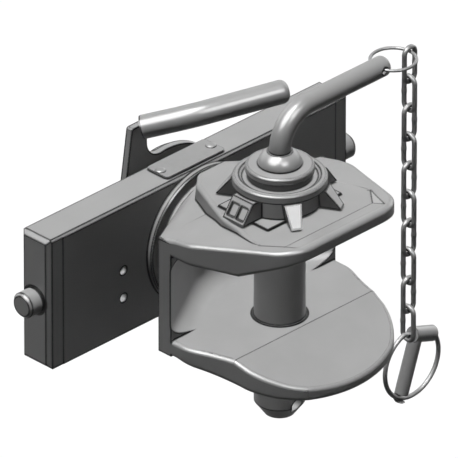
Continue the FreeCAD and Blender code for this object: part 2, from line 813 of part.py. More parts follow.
def lever_plate():
    """Flat lever on the bush's nose: hub, two ears with the cam slots, and the arm."""
    along_y = FreeCAD.Rotation(FreeCAD.Vector(1, 0, 0), -90)
    hub = primitive("Cylinder", "lever_hub", Radius=size("lever_hub_radius"), Height=size("lever_thick"))
    hub.Placement.Rotation = along_y
    place(hub, 0, lever_front, 0)
    parts = [hub]
    ear_angle = size("lever_swing") + size("lever_ear_margin") * 2
    for name, start in (("right", 0.0), ("left", 180.0)):
        ear = primitive("Cylinder", "lever_ear_" + name, Radius=size("lever_ear_radius"),
                        Height=size("lever_thick"), Angle=ear_angle)
        turn = FreeCAD.Rotation(FreeCAD.Vector(0, 1, 0), start - float(size("lever_ear_margin")))
        ear.Placement.Rotation = turn.multiply(along_y)
        place(ear, 0, lever_front, 0)
        parts.append(ear)
    arm = new_body("lever_arm")
    sketch = new_sketch(arm, "lever_arm_outline", "XZ_Plane", lift=-lever_back)
    top = size("lever_arm_top")
    draw_outline(sketch, [
        (-size("lever_arm_outer_x"), size("lever_arm_foot")),
        (-size("lever_arm_tip_right"), size("lever_arm_foot")),
        (-size("lever_arm_tip_right"), top), (-size("lever_arm_tip_left"), top)])
    pad(arm, sketch, size("lever_thick"))
    parts.append(arm)
    blank = fused("lever_blank", parts)
    blank.Refine = True
    doc.recompute()
    hub_edge_z = math.sqrt(float(size("lever_hub_radius")) ** 2 - float(size("lever_arm_tip_right")) ** 2)
    rounded = doc.addObject("Part::Fillet", "lever_rounded")
    rounded.Base = blank
    rounded.Edges = [
        (number, radius, radius) for number, radius in lever_corners(blank.Shape, hub_edge_z)]
    bore = primitive("Cylinder", "lever_bore", Radius=size("bush_nose_radius") + size("running_gap"),
                     Height=size("lever_thick") + 2)
    bore.Placement.Rotation = along_y
    place(bore, 0, lever_front - 1, 0)
    slots = [spiral_slot("lever_slot_right", 0), spiral_slot("lever_slot_left", 180)]
    tools = fused("lever_holes", [bore] + slots)
    return keep(cut("lever_plate", rounded, tools), "lever_plate")


def lever_corners(shape, hub_edge_z):
    """The inside corner beside the arm gets the big fillet, the outer corners a small one."""
    found = []
    for number, edge in enumerate(shape.Edges, start=1):
        middle = edge.CenterOfMass
        if spans(edge)[1] < 1 or max(spans(edge)[0], spans(edge)[2]) > 0.01:
            continue
        if near(middle.x, -size("lever_arm_tip_right"), 0.5) and near(middle.z, hub_edge_z, 1):
            found.append((number, float(size("lever_arm_fillet"))))
        elif middle.z > float(size("lever_arm_top")) - 1:
            found.append((number, float(size("lever_tip_round"))))
        elif math.hypot(middle.x, middle.z) > float(size("lever_ear_radius")) - 1:
            found.append((number, float(size("lever_ear_round"))))
    return found


def bent_bar(points, bend, radius):
    """A round bar along straight runs joined by tangent arcs, with flat ends."""
    runs = []
    start = points[0]
    for number in range(1, len(points) - 1):
        corner = points[number]
        before = (points[number - 1] - corner).normalize()
        after = (points[number + 1] - corner).normalize()
        half_turn = (math.pi - before.getAngle(after)) / 2
        reach = bend * math.tan(half_turn)
        middle = (before + after).normalize()
        arc_start, arc_end = corner + before * reach, corner + after * reach
        arc_middle = corner + middle * (bend / math.cos(half_turn) - bend)
        runs.append(Part.makeLine(start, arc_start))
        runs.append(Part.Arc(arc_start, arc_middle, arc_end).toShape())
        start = arc_end
    runs.append(Part.makeLine(start, points[-1]))
    circle = Part.makeCircle(radius, points[0], points[1] - points[0])
    return Part.Wire(runs).makePipeShell([Part.Wire([circle])], True, True)


def lever_handle():
    """Bent round bar, cut flat where it meets the arm it is welded on, with a domed far end."""
    start = vector(-size("lever_bar_start_x"), plate_back, size("lever_bar_start_z"))
    bend = vector(-size("lever_bar_bend_x"), size("lever_bar_bend_y"), size("lever_bar_bend_z"))
    end = vector(size("lever_bar_end_x"), size("lever_bar_end_y"), size("lever_bar_end_z"))
    radius = float(size("lever_bar")) / 2
    bar = drawn("lever_bar_run", bent_bar([start, bend, end], float(size("lever_bar_bend_radius")), radius))
    trim = primitive("Box", "lever_bar_trim", Length=plate_end, Width=size("lever_bar") * 3,
                     Height=size("lever_arm_top") * 2)
    place(trim, -plate_end, lever_front, 0)
    trimmed = cut("lever_bar_trimmed", bar, trim)
    doc.recompute()
    rounded = doc.addObject("Part::Fillet", "lever_handle")
    rounded.Base = trimmed
    nose = float(size("lever_bar_round"))
    rounded.Edges = [(number, nose, nose) for number, edge in enumerate(trimmed.Shape.Edges, start=1)
                     if edge.Closed and (edge.CenterOfMass - end).Length < 0.5]
    return keep(rounded, "lever_handle")


def trapezoid_slab(label, plan_corners, side_corners, top, bottom, round_plan):
    """A casting slab: what the plan outline and the side outline have in common."""
    plan = new_body(label + "_plan")
    sketch = new_sketch(plan, label + "_plan_outline", "XY_Plane", lift=bottom)
    draw_outline(sketch, plan_corners)
    pad(plan, sketch, top - bottom)
    for radius, wanted in round_plan:
        round_edges(plan, radius, wanted)
    side = new_body(label + "_side")
    profile = new_sketch(side, label + "_side_outline", "YZ_Plane")
    draw_outline(profile, side_corners)
    pad(side, profile, size("jaw_half_width") * 2 + 20, both_ways=True)
    slab = doc.addObject("Part::Common", label)
    slab.Base = plan
    slab.Tool = side
    doc.recompute()
    return slab


def outline_edges(shape, fold_y, back_y):
    """Edges round a slab's top and bottom: no folds behind the first line, nothing behind the
    second."""
    found = []
    for number, edge in enumerate(shape.Edges, start=1):
        box = edge.BoundBox
        middle = edge.valueAt((edge.FirstParameter + edge.LastParameter) / 2)
        upright = box.ZLength > 4 and box.XLength < 2 and box.YLength < 2
        fold = box.XLength > 60 and box.YLength < 0.01 and middle.y > fold_y
        if upright or fold or middle.y > back_y:
            continue
        found.append(number)
    return found


def rounded_slab(label, slab, radius, fold_y, back_y):
    """The slab with its rim rounded, top and bottom."""
    rounded = doc.addObject("Part::Fillet", label)
    rounded.Base = slab
    edges = outline_edges(slab.Shape, float(fold_y), float(back_y))
    rounded.Edges = [(number, radius, radius) for number in edges]
    doc.recompute()
    return rounded


def lower_jaw():
    """Lower clevis arm: flat under the pin, with a lip that slopes down to the round front."""
    wide, back, tip = size("jaw_half_width"), size("jaw_back"), -size("lower_tip")
    side, side_y = wide - size("lower_side_in"), -size("lower_side_y")
    front, front_y = wide - size("lower_front_in"), -size("lower_front_y")
    low, end = -size("jaw_bottom"), tip - 5
    slab = trapezoid_slab(
        "lower_slab",
        [(-wide, back), (-wide, size("lower_shoulder")), (-side, side_y, -size("lower_side_sag")),
         (-front, front_y, size("lower_corner_sag")), (front, front_y, front_y - tip),
         (side, side_y, size("lower_corner_sag")),
         (wide, size("lower_shoulder"), -size("lower_side_sag")), (wide, back)],
        [(back, low), (size("lower_thick_start"), low), (end, -size("lower_tip_bottom")),
         (end, -gap_half - size("lower_tip_drop")), (-size("lower_fold"), -gap_half),
         (back, -gap_half)],
        -gap_half + 5, -size("lower_tip_bottom") - 5,
        [(size("lower_blend"), lambda edge, middle: spans(edge)[2] > 10
          and middle.y < float(side_y) + 1),
         (size("lower_shoulder_round"), lambda edge, middle: spans(edge)[2] > 10
          and near(middle.y, size("lower_shoulder"), 1))])
    return rounded_slab("lower_arm", slab, float(size("jaw_edge")), tip, back - 1)


def upper_jaw():
    """Upper clevis arm: the wing all round, which rises to the front like a bill."""
    wide, front = size("jaw_half_width"), size("upper_front_half")
    back, tip = size("jaw_back"), -size("upper_front")
    end = tip - 5
    slab = trapezoid_slab(
        "upper_slab",
        [(-wide, back), (-wide, size("upper_shoulder")), (-front, tip), (front, tip),
         (wide, size("upper_shoulder")), (wide, back)],
        [(back, gap_half), (-size("upper_fold"), gap_half), (end, size("wing_front_low")),
         (end, size("wing_front_top")), (size("wing_mid_y"), size("wing_mid_top")),
         (back, size("wing_back_top"))],
        size("wing_front_top") + 1, gap_half - 5,
        [(size("upper_corner"), lambda edge, middle: spans(edge)[2] > 10 and near(middle.y, tip, 1)),
         (size("upper_shoulder_round"), lambda edge, middle: spans(edge)[2] > 10
          and near(middle.y, size("upper_shoulder"), 1))])
    return rounded_slab("upper_arm", slab, float(size("jaw_edge")), tip + 1, back - 1)


def platform():
    """Raised part of the upper arm, narrow at the neck, with a round rim. Its front end lies in
    the wing, and its underside follows the wing's."""
    body = new_body("jaw_platform")
    low, top = gap_half + 5, size("platform_top")
    plan = new_sketch(body, "platform_outline", "XY_Plane", lift=low)
    stations = [(size("platform_tail_half"), size("jaw_flange_front")),
                (size("platform_back_half"), size("platform_back_y")),
                (size("platform_neck_half"), size("platform_neck_y")),
                (size("platform_waist_half"), size("platform_waist_y")),
                (size("platform_flare_half"), -size("platform_flare_y")),
                (size("platform_wide_half"), -size("platform_wide_y")),
                (size("platform_front_half"), -size("platform_front"))]
    draw_outline(plan, [(-x, y) for x, y in stations] + [(x, y) for x, y in reversed(stations)])
    pad(body, plan, top - low)
    back_y, wide_y = float(size("jaw_flange_front")), -float(size("platform_wide_y"))
    round_edges(body, size("platform_bend"), lambda edge, middle: spans(edge)[2] > 5
                and wide_y + 1 < middle.y < back_y - 1)
    round_edges(body, size("platform_round"), lambda edge, middle: near(middle.z, top)
                and middle.y < back_y - 1)
    under = new_sketch(body, "platform_underside", "YZ_Plane")
    end, start = -size("upper_front") - 5, -size("upper_fold")
    draw_outline(under, [(end, low - 10), (start, low - 10), (start, gap_half + 2),
                         (end, size("wing_front_low") + 2)])
    pocket(body, under, size("jaw_half_width") * 2, both_ways=True)
    pads = new_sketch(body, "crown_pad", "XY_Plane", lift=top)
    draw_box(pads, -size("pad_half_x"), size("pad_half_x"), -size("pad_half_y"), size("pad_half_y"))
    pad(body, pads, size("pad_height"))
    return body


def recess():
    """The room in the rising wing over the platform's front end: a floor level with the platform,
    a long slope up at the front and a steeper one at each corner."""
    body = new_body("jaw_recess")
    back, front = -size("recess_back"), -size("recess_front")
    wide, wide_y = size("recess_wide_half"), -size("platform_wide_y")
    half, side_run = size("recess_front_half"), size("recess_side_run")
    floor = new_sketch(body, "recess_floor", "XY_Plane", lift=size("platform_top"))
    draw_outline(floor, [(-half, back), (-wide, wide_y), (-half, front), (half, front),
                         (wide, wide_y), (half, back)])
    rim = new_sketch(body, "recess_rim", "XY_Plane", lift=size("platform_top") + size("recess_high"))
    rim_half, rim_y = wide + side_run, wide_y - size("recess_side_lag")
    rim_front = front - size("recess_front_run")
    draw_outline(rim, [(-half, back), (-rim_half, rim_y), (-half, rim_front), (half, rim_front),
                       (rim_half, rim_y), (half, back)])
    loft = body.newObject("PartDesign::AdditiveLoft", "recess_loft")
    loft.Profile = floor
    loft.Sections = [rim]
    loft.Ruled = True
    doc.recompute()
    return body


def neck():
    """Back of the jaw: a block as wide as the arms, drawn in to the round flange, and the shank."""
    body = new_body("jaw_neck")
    low, high = -size("jaw_bottom"), size("wing_back_top")
    wide = size("jaw_half_width")
    block = new_sketch(body, "neck_block", "XZ_Plane", lift=-size("jaw_back"))
    draw_box(block, -wide, wide, low, high)
    pad(body, block, size("jaw_back") - size("jaw_neck_front"))
    start = new_sketch(body, "neck_loft_start", "XZ_Plane", lift=-size("jaw_back"))
    draw_box(start, -wide, wide, low, high)
    end = new_sketch(body, "neck_loft_end", "XZ_Plane", lift=-size("jaw_flange_front"))
    reach = size("jaw_flange_radius") * cosine(45)
    sag = size("jaw_flange_radius") - reach
    draw_outline(end, [(-reach, -reach, sag), (reach, -reach, sag), (reach, reach, sag),
                       (-reach, reach, sag)])
    loft = body.newObject("PartDesign::AdditiveLoft", "neck_loft")
    loft.Profile = start
    loft.Sections = [end]
    loft.Ruled = True
    flange = new_sketch(body, "neck_flange", "XZ_Plane", lift=-washer_front)
    draw_circle(flange, 0, 0, size("jaw_flange_radius"))
    pad(body, flange, washer_front - size("jaw_flange_front"))
    shank = new_sketch(body, "neck_shank", "XZ_Plane", lift=-disc_front)
    draw_circle(shank, 0, 0, size("shank_radius"))
    pad(body, shank, disc_front - washer_front)
    doc.recompute()
    holes = new_sketch(body, "shank_holes", "XZ_Plane", lift=-disc_front + size("rear_screw_deep"))
    screw_circles(holes)
    pocket(body, holes, size("rear_screw_deep") + 1)
    return body


def throat():
    """The gap between the arms. Its back wall is round behind the pin and slants to the sides."""
    body = new_body("jaw_throat")
    plan = new_sketch(body, "throat_plan", "XY_Plane")
    radius, slant = size("throat_radius"), size("throat_slant")
    touch_x, touch_y = radius * sine(slant), size("throat_centre") + radius * cosine(slant)
    side_x = size("jaw_half_width") + 15
    side_y = touch_y - (side_x - touch_x) * sine(slant) / cosine(slant)
    front = -size("lower_tip") - 20
    draw_outline(plan, [(-side_x, front), (side_x, front), (side_x, side_y), (touch_x, touch_y),
                        (-touch_x, touch_y, radius - radius * cosine(slant)), (-side_x, side_y)])
    pad(body, plan, size("jaw_gap"), both_ways=True)
    round_edges(body, size("throat_fillet"), lambda edge, middle: near(abs(middle.z), gap_half)
                and middle.y > float(side_y) + 0.5 and spans(edge)[2] < 0.1)
    return body


def jaw_body():
    """The cast clevis, fused from its arms, platform, neck and boss, then bored."""
    boss = turned("jaw_boss", "XZ_Plane", "V_Axis", [
        (0, -gap_half - 5), (size("boss_radius") + size("boss_taper"), -gap_half - 5),
        (size("boss_radius") + size("boss_taper"), -size("jaw_bottom")),
        (size("boss_radius"), -size("boss_bottom") + 2), (size("boss_radius") - 2, -size("boss_bottom")),
        (0, -size("boss_bottom"))])
    blank = fused("jaw_blank", [lower_jaw(), upper_jaw(), platform(), neck(), boss])
    upper_bore = primitive("Cylinder", "upper_bore", Radius=bush_outer,
                           Height=size("platform_top") + size("pad_height") - gap_half + 2)
    place(upper_bore, 0, 0, gap_half - 1)
    lip = size("lower_bush_lip")
    lower_bore = primitive("Cylinder", "lower_bore", Radius=bush_outer,
                           Height=size("boss_bottom") - gap_half - lip + 1)
    place(lower_bore, 0, 0, -size("boss_bottom") - 1)
    seat_bore = primitive("Cylinder", "seat_bore", Radius=size("seat_ring_radius"), Height=lip + 2)
    place(seat_bore, 0, 0, -gap_half - lip - 1)
    tools = fused("jaw_cuts", [throat(), recess(), upper_bore, lower_bore, seat_bore])
    jaw = cut("jaw_body", blank, tools)
    return keep(jaw, "jaw_body")


def pin_bushes():
    """Hardened bushes that the pin slides in; the lower one is pushed in from below against a
    lip, and only its nose ring shows in the floor."""
    low, high = gap_half, size("platform_top") + size("pad_height")
    keep(turned("upper_pin_bush", "XZ_Plane", "V_Axis", [
        (pin_bore, low), (bush_outer, low), (bush_outer, high), (pin_bore, high)]), "upper_pin_bush")
    bottom, top = -size("boss_bottom"), -gap_half
    seat = size("seat_ring_radius")
    keep(turned("lower_pin_bush", "XZ_Plane", "V_Axis", [
        (pin_bore, bottom), (bush_outer, bottom), (bush_outer, top - size("lower_bush_lip")),
        (seat, top - size("lower_bush_lip")), (seat, top + size("seat_ring_high")),
        (pin_bore, top + size("seat_ring_high"))]), "lower_pin_bush")


def star_crown():
    """Pin guide: a drum with a dished top, four tapered legs and two wide lugs."""
    foot = size("platform_top") + size("pad_height")
    rim, top = size("crown_rim_radius"), size("crown_top")
    ceiling = size("crown_floor") - size("crown_floor_thick")
    round_off = size("crown_rim_fillet")
    drum = turned("crown_drum", "XZ_Plane", "V_Axis", [
        (size("crown_cavity_radius"), foot), (size("crown_drum_radius"), foot),
        (size("crown_drum_radius"), size("crown_rim_bottom")), (rim, size("crown_rim_bottom")),
        (rim, top - round_off), (rim - round_off, top, round_off * (1 - math.sqrt(0.5))),
        (size("crown_ring_inner"), top), (size("crown_floor_radius"), size("crown_floor")),
        (pin_bore + size("free_gap"), size("crown_floor")), (pin_bore + size("free_gap"), ceiling),
        (size("crown_cavity_radius"), ceiling)])
    high = size("crown_rim_bottom") - foot
    pieces = [drum]
    for number, angle in enumerate((60, 120, 240, 300)):
        pieces.append(buttress("crown_leg_%d" % number, angle, size("leg_top_radius"),
                               size("leg_foot_radius"), size("leg_top_width"),
                               size("leg_foot_width"), foot, high))
    for number, angle in enumerate((0, 180)):
        lug = buttress("crown_lug_blank_%d" % number, angle, size("lug_top_x"), size("lug_foot_x"),
                       size("lug_width"), size("lug_width"), foot, high)
        panes = lug_panes("crown_panes_%d" % number, angle, foot, high)
        pieces.append(cut("crown_lug_%d" % number, lug, panes))
    return keep(fused("star_crown", pieces), "star_crown")


def buttress(label, angle, top_reach, foot_reach, top_width, foot_width, foot, high):
    """A leg that widens outwards to its foot: a wedge stood on the platform."""
    root = size("leg_root_radius")
    leg = primitive("Wedge", label, Xmin=root, Xmax=foot_reach, X2min=root, X2max=top_reach,
                    Zmin=-foot_width / 2, Zmax=foot_width / 2, Z2min=-top_width / 2, Z2max=top_width / 2,
                    Ymin=0, Ymax=high)
    upright = FreeCAD.Rotation(FreeCAD.Vector(1, 0, 0), 90)
    leg.Placement.Rotation = FreeCAD.Rotation(FreeCAD.Vector(0, 0, 1), angle).multiply(upright)
    place(leg, 0, 0, foot)
    return leg


def lug_panes(label, angle, foot, high):
    """Two shallow recesses in a lug's sloping face, with a rib between them."""
    slope = math.degrees(math.atan2(float(size("lug_foot_x") - size("lug_top_x")), float(high)))
    panes = []
    for side in (-1, 1):
        pane = primitive("Box", "%s_%s" % (label, "low" if side < 0 else "high"),
                         Length=size("pane_deep") * 2, Width=size("pane_width"),
                         Height=size("pane_height"))
        tilt = FreeCAD.Rotation(FreeCAD.Vector(0, 1, 0), -slope)
        spin = FreeCAD.Rotation(FreeCAD.Vector(0, 0, 1), angle)
        offset = FreeCAD.Vector(float(size("lug_foot_x")), 0, float(foot))
        middle_y = side * float(size("pane_rib") + size("pane_width")) / 2
        start_y = middle_y - float(size("pane_width")) / 2
        corner = offset + tilt.multVec(vector(-size("pane_deep"), start_y, size("pane_foot")))
        pane.Placement = FreeCAD.Placement(spin.multVec(corner), spin.multiply(tilt))
        panes.append(pane)
    return fused(label, panes)


def coupling_pin():
    """The pin with its cone, collar seat and dome, the bent handle on top, the collar and the
    rubber ring that cushions it on the crown's floor."""
    buffer_low = size("crown_floor") + size("running_gap")
    buffer_high = buffer_low + size("buffer_thick")
    collar_high = buffer_high + size("collar_thick")
    stem = size("collar_bore")
    dome = size("dome_foot_radius")
    pin = turned("coupling_pin", "XZ_Plane", "V_Axis", [
        (0, -size("pin_tip")), (size("pin_tip_radius"), -size("pin_tip")),
        (pin_radius, -size("pin_cone_top")), (pin_radius, buffer_low), (stem, buffer_low),
        (stem, collar_high), (dome, collar_high),
        (size("dome_top_radius"), size("dome_top"), 1.6), (0, size("dome_top"))])
    hole = new_sketch(pin, "pin_cross_hole", "XZ_Plane")
    draw_circle(hole, 0, -size("pin_cross_hole_z"), size("pin_cross_hole") / 2)
    pocket(pin, hole, size("pin_diameter") * 2, both_ways=True)
    keep(pin, "coupling_pin")
    keep(turned("buffer_ring", "XZ_Plane", "V_Axis", [
        (stem + size("running_gap"), buffer_low), (size("buffer_radius"), buffer_low),
        (size("buffer_radius"), buffer_high), (stem + size("running_gap"), buffer_high)]), "buffer_ring")
    outer, edge = size("collar_radius"), size("collar_fillet")
    keep(turned("pin_collar", "XZ_Plane", "V_Axis", [
        (stem + size("running_gap"), buffer_high), (outer, buffer_high), (outer, collar_high - edge),
        (outer - edge, collar_high - size("running_gap"), edge * (1 - math.sqrt(0.5))),
        (stem + size("running_gap"), collar_high - size("running_gap"))]), "pin_collar")
    pin_handle()


def pin_handle():
    """Round bar bent over by a right angle, with a cross hole for the ring near its end."""
    radius = float(size("handle_bar")) / 2
    high = size("handle_height")
    bar = drawn("handle_run", bent_bar(
        [vector(0, 0, size("dome_top")), vector(0, 0, high), vector(size("handle_end"), 0, high)],
        float(size("handle_bend")) - 0.01, radius))
    hole = primitive("Cylinder", "handle_hole_tool", Radius=size("handle_hole") / 2,
                     Height=size("handle_bar") * 2)
    hole.Placement.Rotation = FreeCAD.Rotation(FreeCAD.Vector(1, 0, 0), 90)
    place(hole, size("handle_hole_x"), size("handle_bar"), high)
    doc.recompute()
    rounded = doc.addObject("Part::Fillet", "handle_rounded")
    rounded.Base = bar
    nose = float(size("handle_end_round"))
    rounded.Edges = [(number, nose, nose) for number, edge in enumerate(bar.Shape.Edges, start=1)
                     if edge.Closed and near(edge.CenterOfMass.x, size("handle_end"))]
    return keep(cut("pin_handle", rounded, hole), "pin_handle")


def handle_ring():
    """Flat round wire ring through the handle's cross hole."""
    ring = primitive("Torus", "handle_ring", Radius1=size("ring_radius"), Radius2=size("ring_wire") / 2)
    place(ring, size("ring_centre_x"), 0, size("handle_height") + size("ring_rise"))
    return keep(ring, "handle_ring")


chain_x = size("ring_centre_x") + size("ring_radius")
ring_height = size("handle_height") + size("ring_rise")
link_half = (size("link_outer_width") - size("link_wire")) / 2
link_straight = size("link_pitch") + size("link_wire") - link_half * 2


def link_centre(number):
    """Height of a link's middle: each hangs one pitch and a hair below the one above it."""
    top_wire = ring_height + (size("ring_wire") + size("link_wire")) / 2 + size("link_gap")
    first = top_wire - (size("link_pitch") + size("link_wire")) / 2
    return first - (size("link_pitch") - size("link_gap")) * number


def chain():
    """Ten round-wire links, each a quarter turn from the one above it."""
    for number in range(int(float(size("link_count")))):
        chain_link("link_%02d" % (number + 1), link_centre(number), number % 2 == 1)


def chain_link(label, height, across):
    """One link: two straight wires and a half ring at each end, in one piece."""
    parts = []
    spin = FreeCAD.Rotation(FreeCAD.Vector(0, 0, 1), 90 if across else 0)
    for side, name in ((-1, "left"), (1, "right")):
        wire = primitive("Cylinder", label + "_wire_" + name, Radius=size("link_wire") / 2,
                         Height=link_straight)
        reach = side * link_half
        if across:
            place(wire, chain_x, reach, height - link_straight / 2)
        else:
            place(wire, chain_x + reach, 0, height - link_straight / 2)
        parts.append(wire)
    for side, name in ((-1, "bottom"), (1, "top")):
        end = primitive("Torus", label + "_" + name, Radius1=link_half, Radius2=size("link_wire") / 2,
                        Angle3=180)
        stand = FreeCAD.Rotation(FreeCAD.Vector(1, 0, 0), 90 if side > 0 else -90)
        end.Placement.Rotation = spin.multiply(stand)
        place(end, chain_x, 0, height + side * link_straight / 2)
        parts.append(end)
    return keep(fused(label, parts), label)


def linch():
    """Linch pin: a barrel with the pin, and a sprung wire bail that snaps over the pin's end.
    Drawn upright in its own plane, then tilted and hung with the bail's stub in the last link."""
    tilt = float(size("linch_tilt"))
    wire = float(size("bail_wire")) / 2
    last = link_centre(int(float(size("link_count"))) - 1)
    hook_height = float(last) - float(link_straight) / 2 - float(link_half)
    reach = (float(size("link_wire")) / 2 + wire) / math.cos(math.radians(tilt))
    hook = FreeCAD.Vector(float(chain_x), 0, hook_height + reach + float(size("link_gap")) / 2)
    turn = FreeCAD.Rotation(FreeCAD.Vector(0, 1, 0), tilt)
    stub = turn.multVec(FreeCAD.Vector(-float(size("bail_hook")), 0, float(size("bail_chord"))))
    stand = FreeCAD.Placement(hook - stub, turn)
    chord, ring = float(size("bail_chord")), float(size("bail_radius"))
    end_x = math.sqrt(ring * ring - chord * chord)
    inset = float(size("barrel_seat"))
    left = -float(size("barrel_left")) + inset
    right = float(size("barrel_right")) - inset
    loop = Part.Arc(FreeCAD.Vector(-end_x, 0, chord), FreeCAD.Vector(0, 0, -ring),
                    FreeCAD.Vector(end_x, 0, chord)).toShape()
    bail_wires = [sweep_round([loop], wire)]
    for start, stop in ((-end_x, left), (end_x, right)):
        sign = 1 if stop > start else -1
        bail_wires.append(Part.makeCylinder(wire, abs(stop - start), FreeCAD.Vector(start, 0, chord),
                                            FreeCAD.Vector(sign, 0, 0)))
        bail_wires.append(Part.makeSphere(wire, FreeCAD.Vector(start, 0, chord)))
    bail_shape = bail_wires[0].multiFuse(bail_wires[1:]).removeSplitter()
    bail = drawn("linch_bail", bail_shape)
    bail.Placement = stand
    keep(bail, "linch_bail")
    barrel_length = float(size("barrel_left") + size("barrel_right"))
    barrel = Part.makeCylinder(float(size("barrel_radius")), barrel_length,
                               FreeCAD.Vector(-float(size("barrel_left")), 0, chord),
                               FreeCAD.Vector(1, 0, 0))
    radius, nose = float(size("linch_diameter")) / 2, float(size("linch_nose"))
    foot = -float(size("linch_tip"))
    centre = FreeCAD.Vector(-float(size("linch_offset")), 0, 0)
    pin = Part.makeCylinder(radius, chord - foot - nose, centre + FreeCAD.Vector(0, 0, foot + nose))
    tip = Part.makeCone(radius - nose, radius, nose, centre + FreeCAD.Vector(0, 0, foot))
    solid = barrel.multiFuse([pin, tip])
    bore = float(size("bail_wire")) / 2 + float(size("barrel_bore_gap"))
    for start, sign in ((-float(size("barrel_left")) - 1, 1), (float(size("barrel_right")) + 1, -1)):
        solid = solid.cut(Part.makeCylinder(bore, inset + 1.3, FreeCAD.Vector(start, 0, chord),
                                            FreeCAD.Vector(sign, 0, 0)))
    notch_half = wire + float(size("notch_gap"))
    groove = Part.makeBox(ring * 2, radius + notch_half + 1, notch_half * 2 + float(size("notch_rise")),
                          FreeCAD.Vector(centre.x - ring, -radius - 1, -ring - notch_half))
    solid = solid.cut(groove).removeSplitter()
    linch_pin = drawn("linch_pin", solid)
    linch_pin.Placement = stand
    return keep(linch_pin, "linch_pin")


def sweep_round(edges, radius):
    start = edges[0].valueAt(edges[0].FirstParameter)
    along = edges[0].tangentAt(edges[0].FirstParameter)
    circle = Part.Wire([Part.makeCircle(radius, start, along)])
    return Part.Wire(edges).makePipeShell([circle], True, True)


carrier_plate()
swivel_bush()
friction_ring()
cover_clip()
cover_rivets()
brake_plug()
brake_spring()
locking_bolts()
lever_plate()
lever_handle()
jaw_body()
thrust_washer()
rear_disc()
rear_disc_screws()
pin_bushes()
star_crown()
coupling_pin()
handle_ring()
chain()
linch()
doc.recompute()

# Every object has to be sound before anything is written
for thing in doc.Objects:
    if "Invalid" in thing.State or "Error" in thing.State:
        raise RuntimeError("%s failed: %s" % (thing.Label, thing.State))
for node in NODES:
    if node.Shape.isNull() or not node.Shape.isValid() or not node.Shape.Solids:
        raise RuntimeError("%s has no sound solid" % node.Label)

os.makedirs("parts", exist_ok=True)
for node in NODES:
    node.Shape.exportStep("parts/%s.step" % node.Label)
    print("%-20s %d solids %9.0f mm3" % (node.Label, len(node.Shape.Solids), node.Shape.Volume))
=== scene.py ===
# %% [markdown]
# # A clevis trailer coupling in studio light
#
# The coupling has a flat carrier plate that slides in a ladder frame, a cast jaw that swivels on
# it, a pin that drops through the jaw, and a small linch pin on a chain. Its solids come packed
# from CAD, so this script doesn't model them again. It lights them, gives each one the surface
# that its making leaves on it, and makes the small repeated pieces that are nicer from a curve.

# %% The frame
import json
import math

import bpy
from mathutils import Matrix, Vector

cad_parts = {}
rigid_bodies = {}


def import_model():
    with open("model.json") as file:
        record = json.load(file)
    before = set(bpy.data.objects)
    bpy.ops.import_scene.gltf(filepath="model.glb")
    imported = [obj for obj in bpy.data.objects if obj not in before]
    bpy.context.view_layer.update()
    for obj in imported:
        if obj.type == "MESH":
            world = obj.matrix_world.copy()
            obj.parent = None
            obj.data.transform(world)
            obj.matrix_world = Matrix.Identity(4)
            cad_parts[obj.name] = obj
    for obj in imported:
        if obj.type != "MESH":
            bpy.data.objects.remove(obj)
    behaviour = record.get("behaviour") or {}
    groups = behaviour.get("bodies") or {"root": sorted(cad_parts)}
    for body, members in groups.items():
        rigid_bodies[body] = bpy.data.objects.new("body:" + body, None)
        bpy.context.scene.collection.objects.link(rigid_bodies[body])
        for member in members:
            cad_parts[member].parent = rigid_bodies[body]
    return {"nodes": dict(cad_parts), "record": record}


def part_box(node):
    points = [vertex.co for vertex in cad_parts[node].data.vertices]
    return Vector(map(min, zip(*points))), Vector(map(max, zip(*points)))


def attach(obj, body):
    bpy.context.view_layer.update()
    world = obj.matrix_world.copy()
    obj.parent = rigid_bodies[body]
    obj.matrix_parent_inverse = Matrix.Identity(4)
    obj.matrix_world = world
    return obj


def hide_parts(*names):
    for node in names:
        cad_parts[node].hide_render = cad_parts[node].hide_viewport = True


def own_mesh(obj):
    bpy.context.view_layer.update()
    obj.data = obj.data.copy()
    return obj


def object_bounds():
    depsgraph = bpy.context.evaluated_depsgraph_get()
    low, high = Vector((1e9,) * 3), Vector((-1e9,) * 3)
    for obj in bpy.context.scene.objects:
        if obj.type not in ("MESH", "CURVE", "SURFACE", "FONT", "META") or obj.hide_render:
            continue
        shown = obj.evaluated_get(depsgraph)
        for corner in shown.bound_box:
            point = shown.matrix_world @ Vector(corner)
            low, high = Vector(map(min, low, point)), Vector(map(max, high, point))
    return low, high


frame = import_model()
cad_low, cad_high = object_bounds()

MM = 0.001
print("CAD box, mm:", [round(v / MM) for v in cad_high - cad_low])

# %% [markdown]
# ## The camera
#
# The picture is a parallel view from the left front, 30 degrees above the horizon. A parallel
# camera would do, but a very long lens from far away gives the same picture, and it keeps a
# sensible distance when another view moves it. The width that the frame takes in at the object
# and the lens together say how far away it stands.

# %% Camera
VIEW_AZIMUTH = math.radians(-45)
VIEW_ELEVATION = math.radians(30)
VIEW_CENTRE = Vector((-15.22, 37.12, 26.81)) * MM
VIEW_WIDTH = 333.67 * MM
LENS = 1500
SENSOR = 36

towards_camera = Vector((
    math.sin(VIEW_AZIMUTH) * math.cos(VIEW_ELEVATION),
    -math.cos(VIEW_AZIMUTH) * math.cos(VIEW_ELEVATION),
    math.sin(VIEW_ELEVATION),
))
distance = VIEW_WIDTH * LENS / SENSOR
camera_data = bpy.data.cameras.new("long_lens")
camera_data.lens = LENS
camera_data.sensor_width = SENSOR
camera_data.clip_start = 0.1
camera_data.clip_end = 2 * distance
camera = bpy.data.objects.new("camera", camera_data)
camera.location = VIEW_CENTRE + towards_camera * distance
camera.rotation_mode = "QUATERNION"
camera.rotation_quaternion = (-towards_camera).to_track_quat("-Z", "Y")
bpy.context.scene.collection.objects.link(camera)
bpy.context.scene.camera = camera
bpy.context.scene.view_settings.view_transform = "Standard"
print("camera stands", round(distance, 2), "m away")

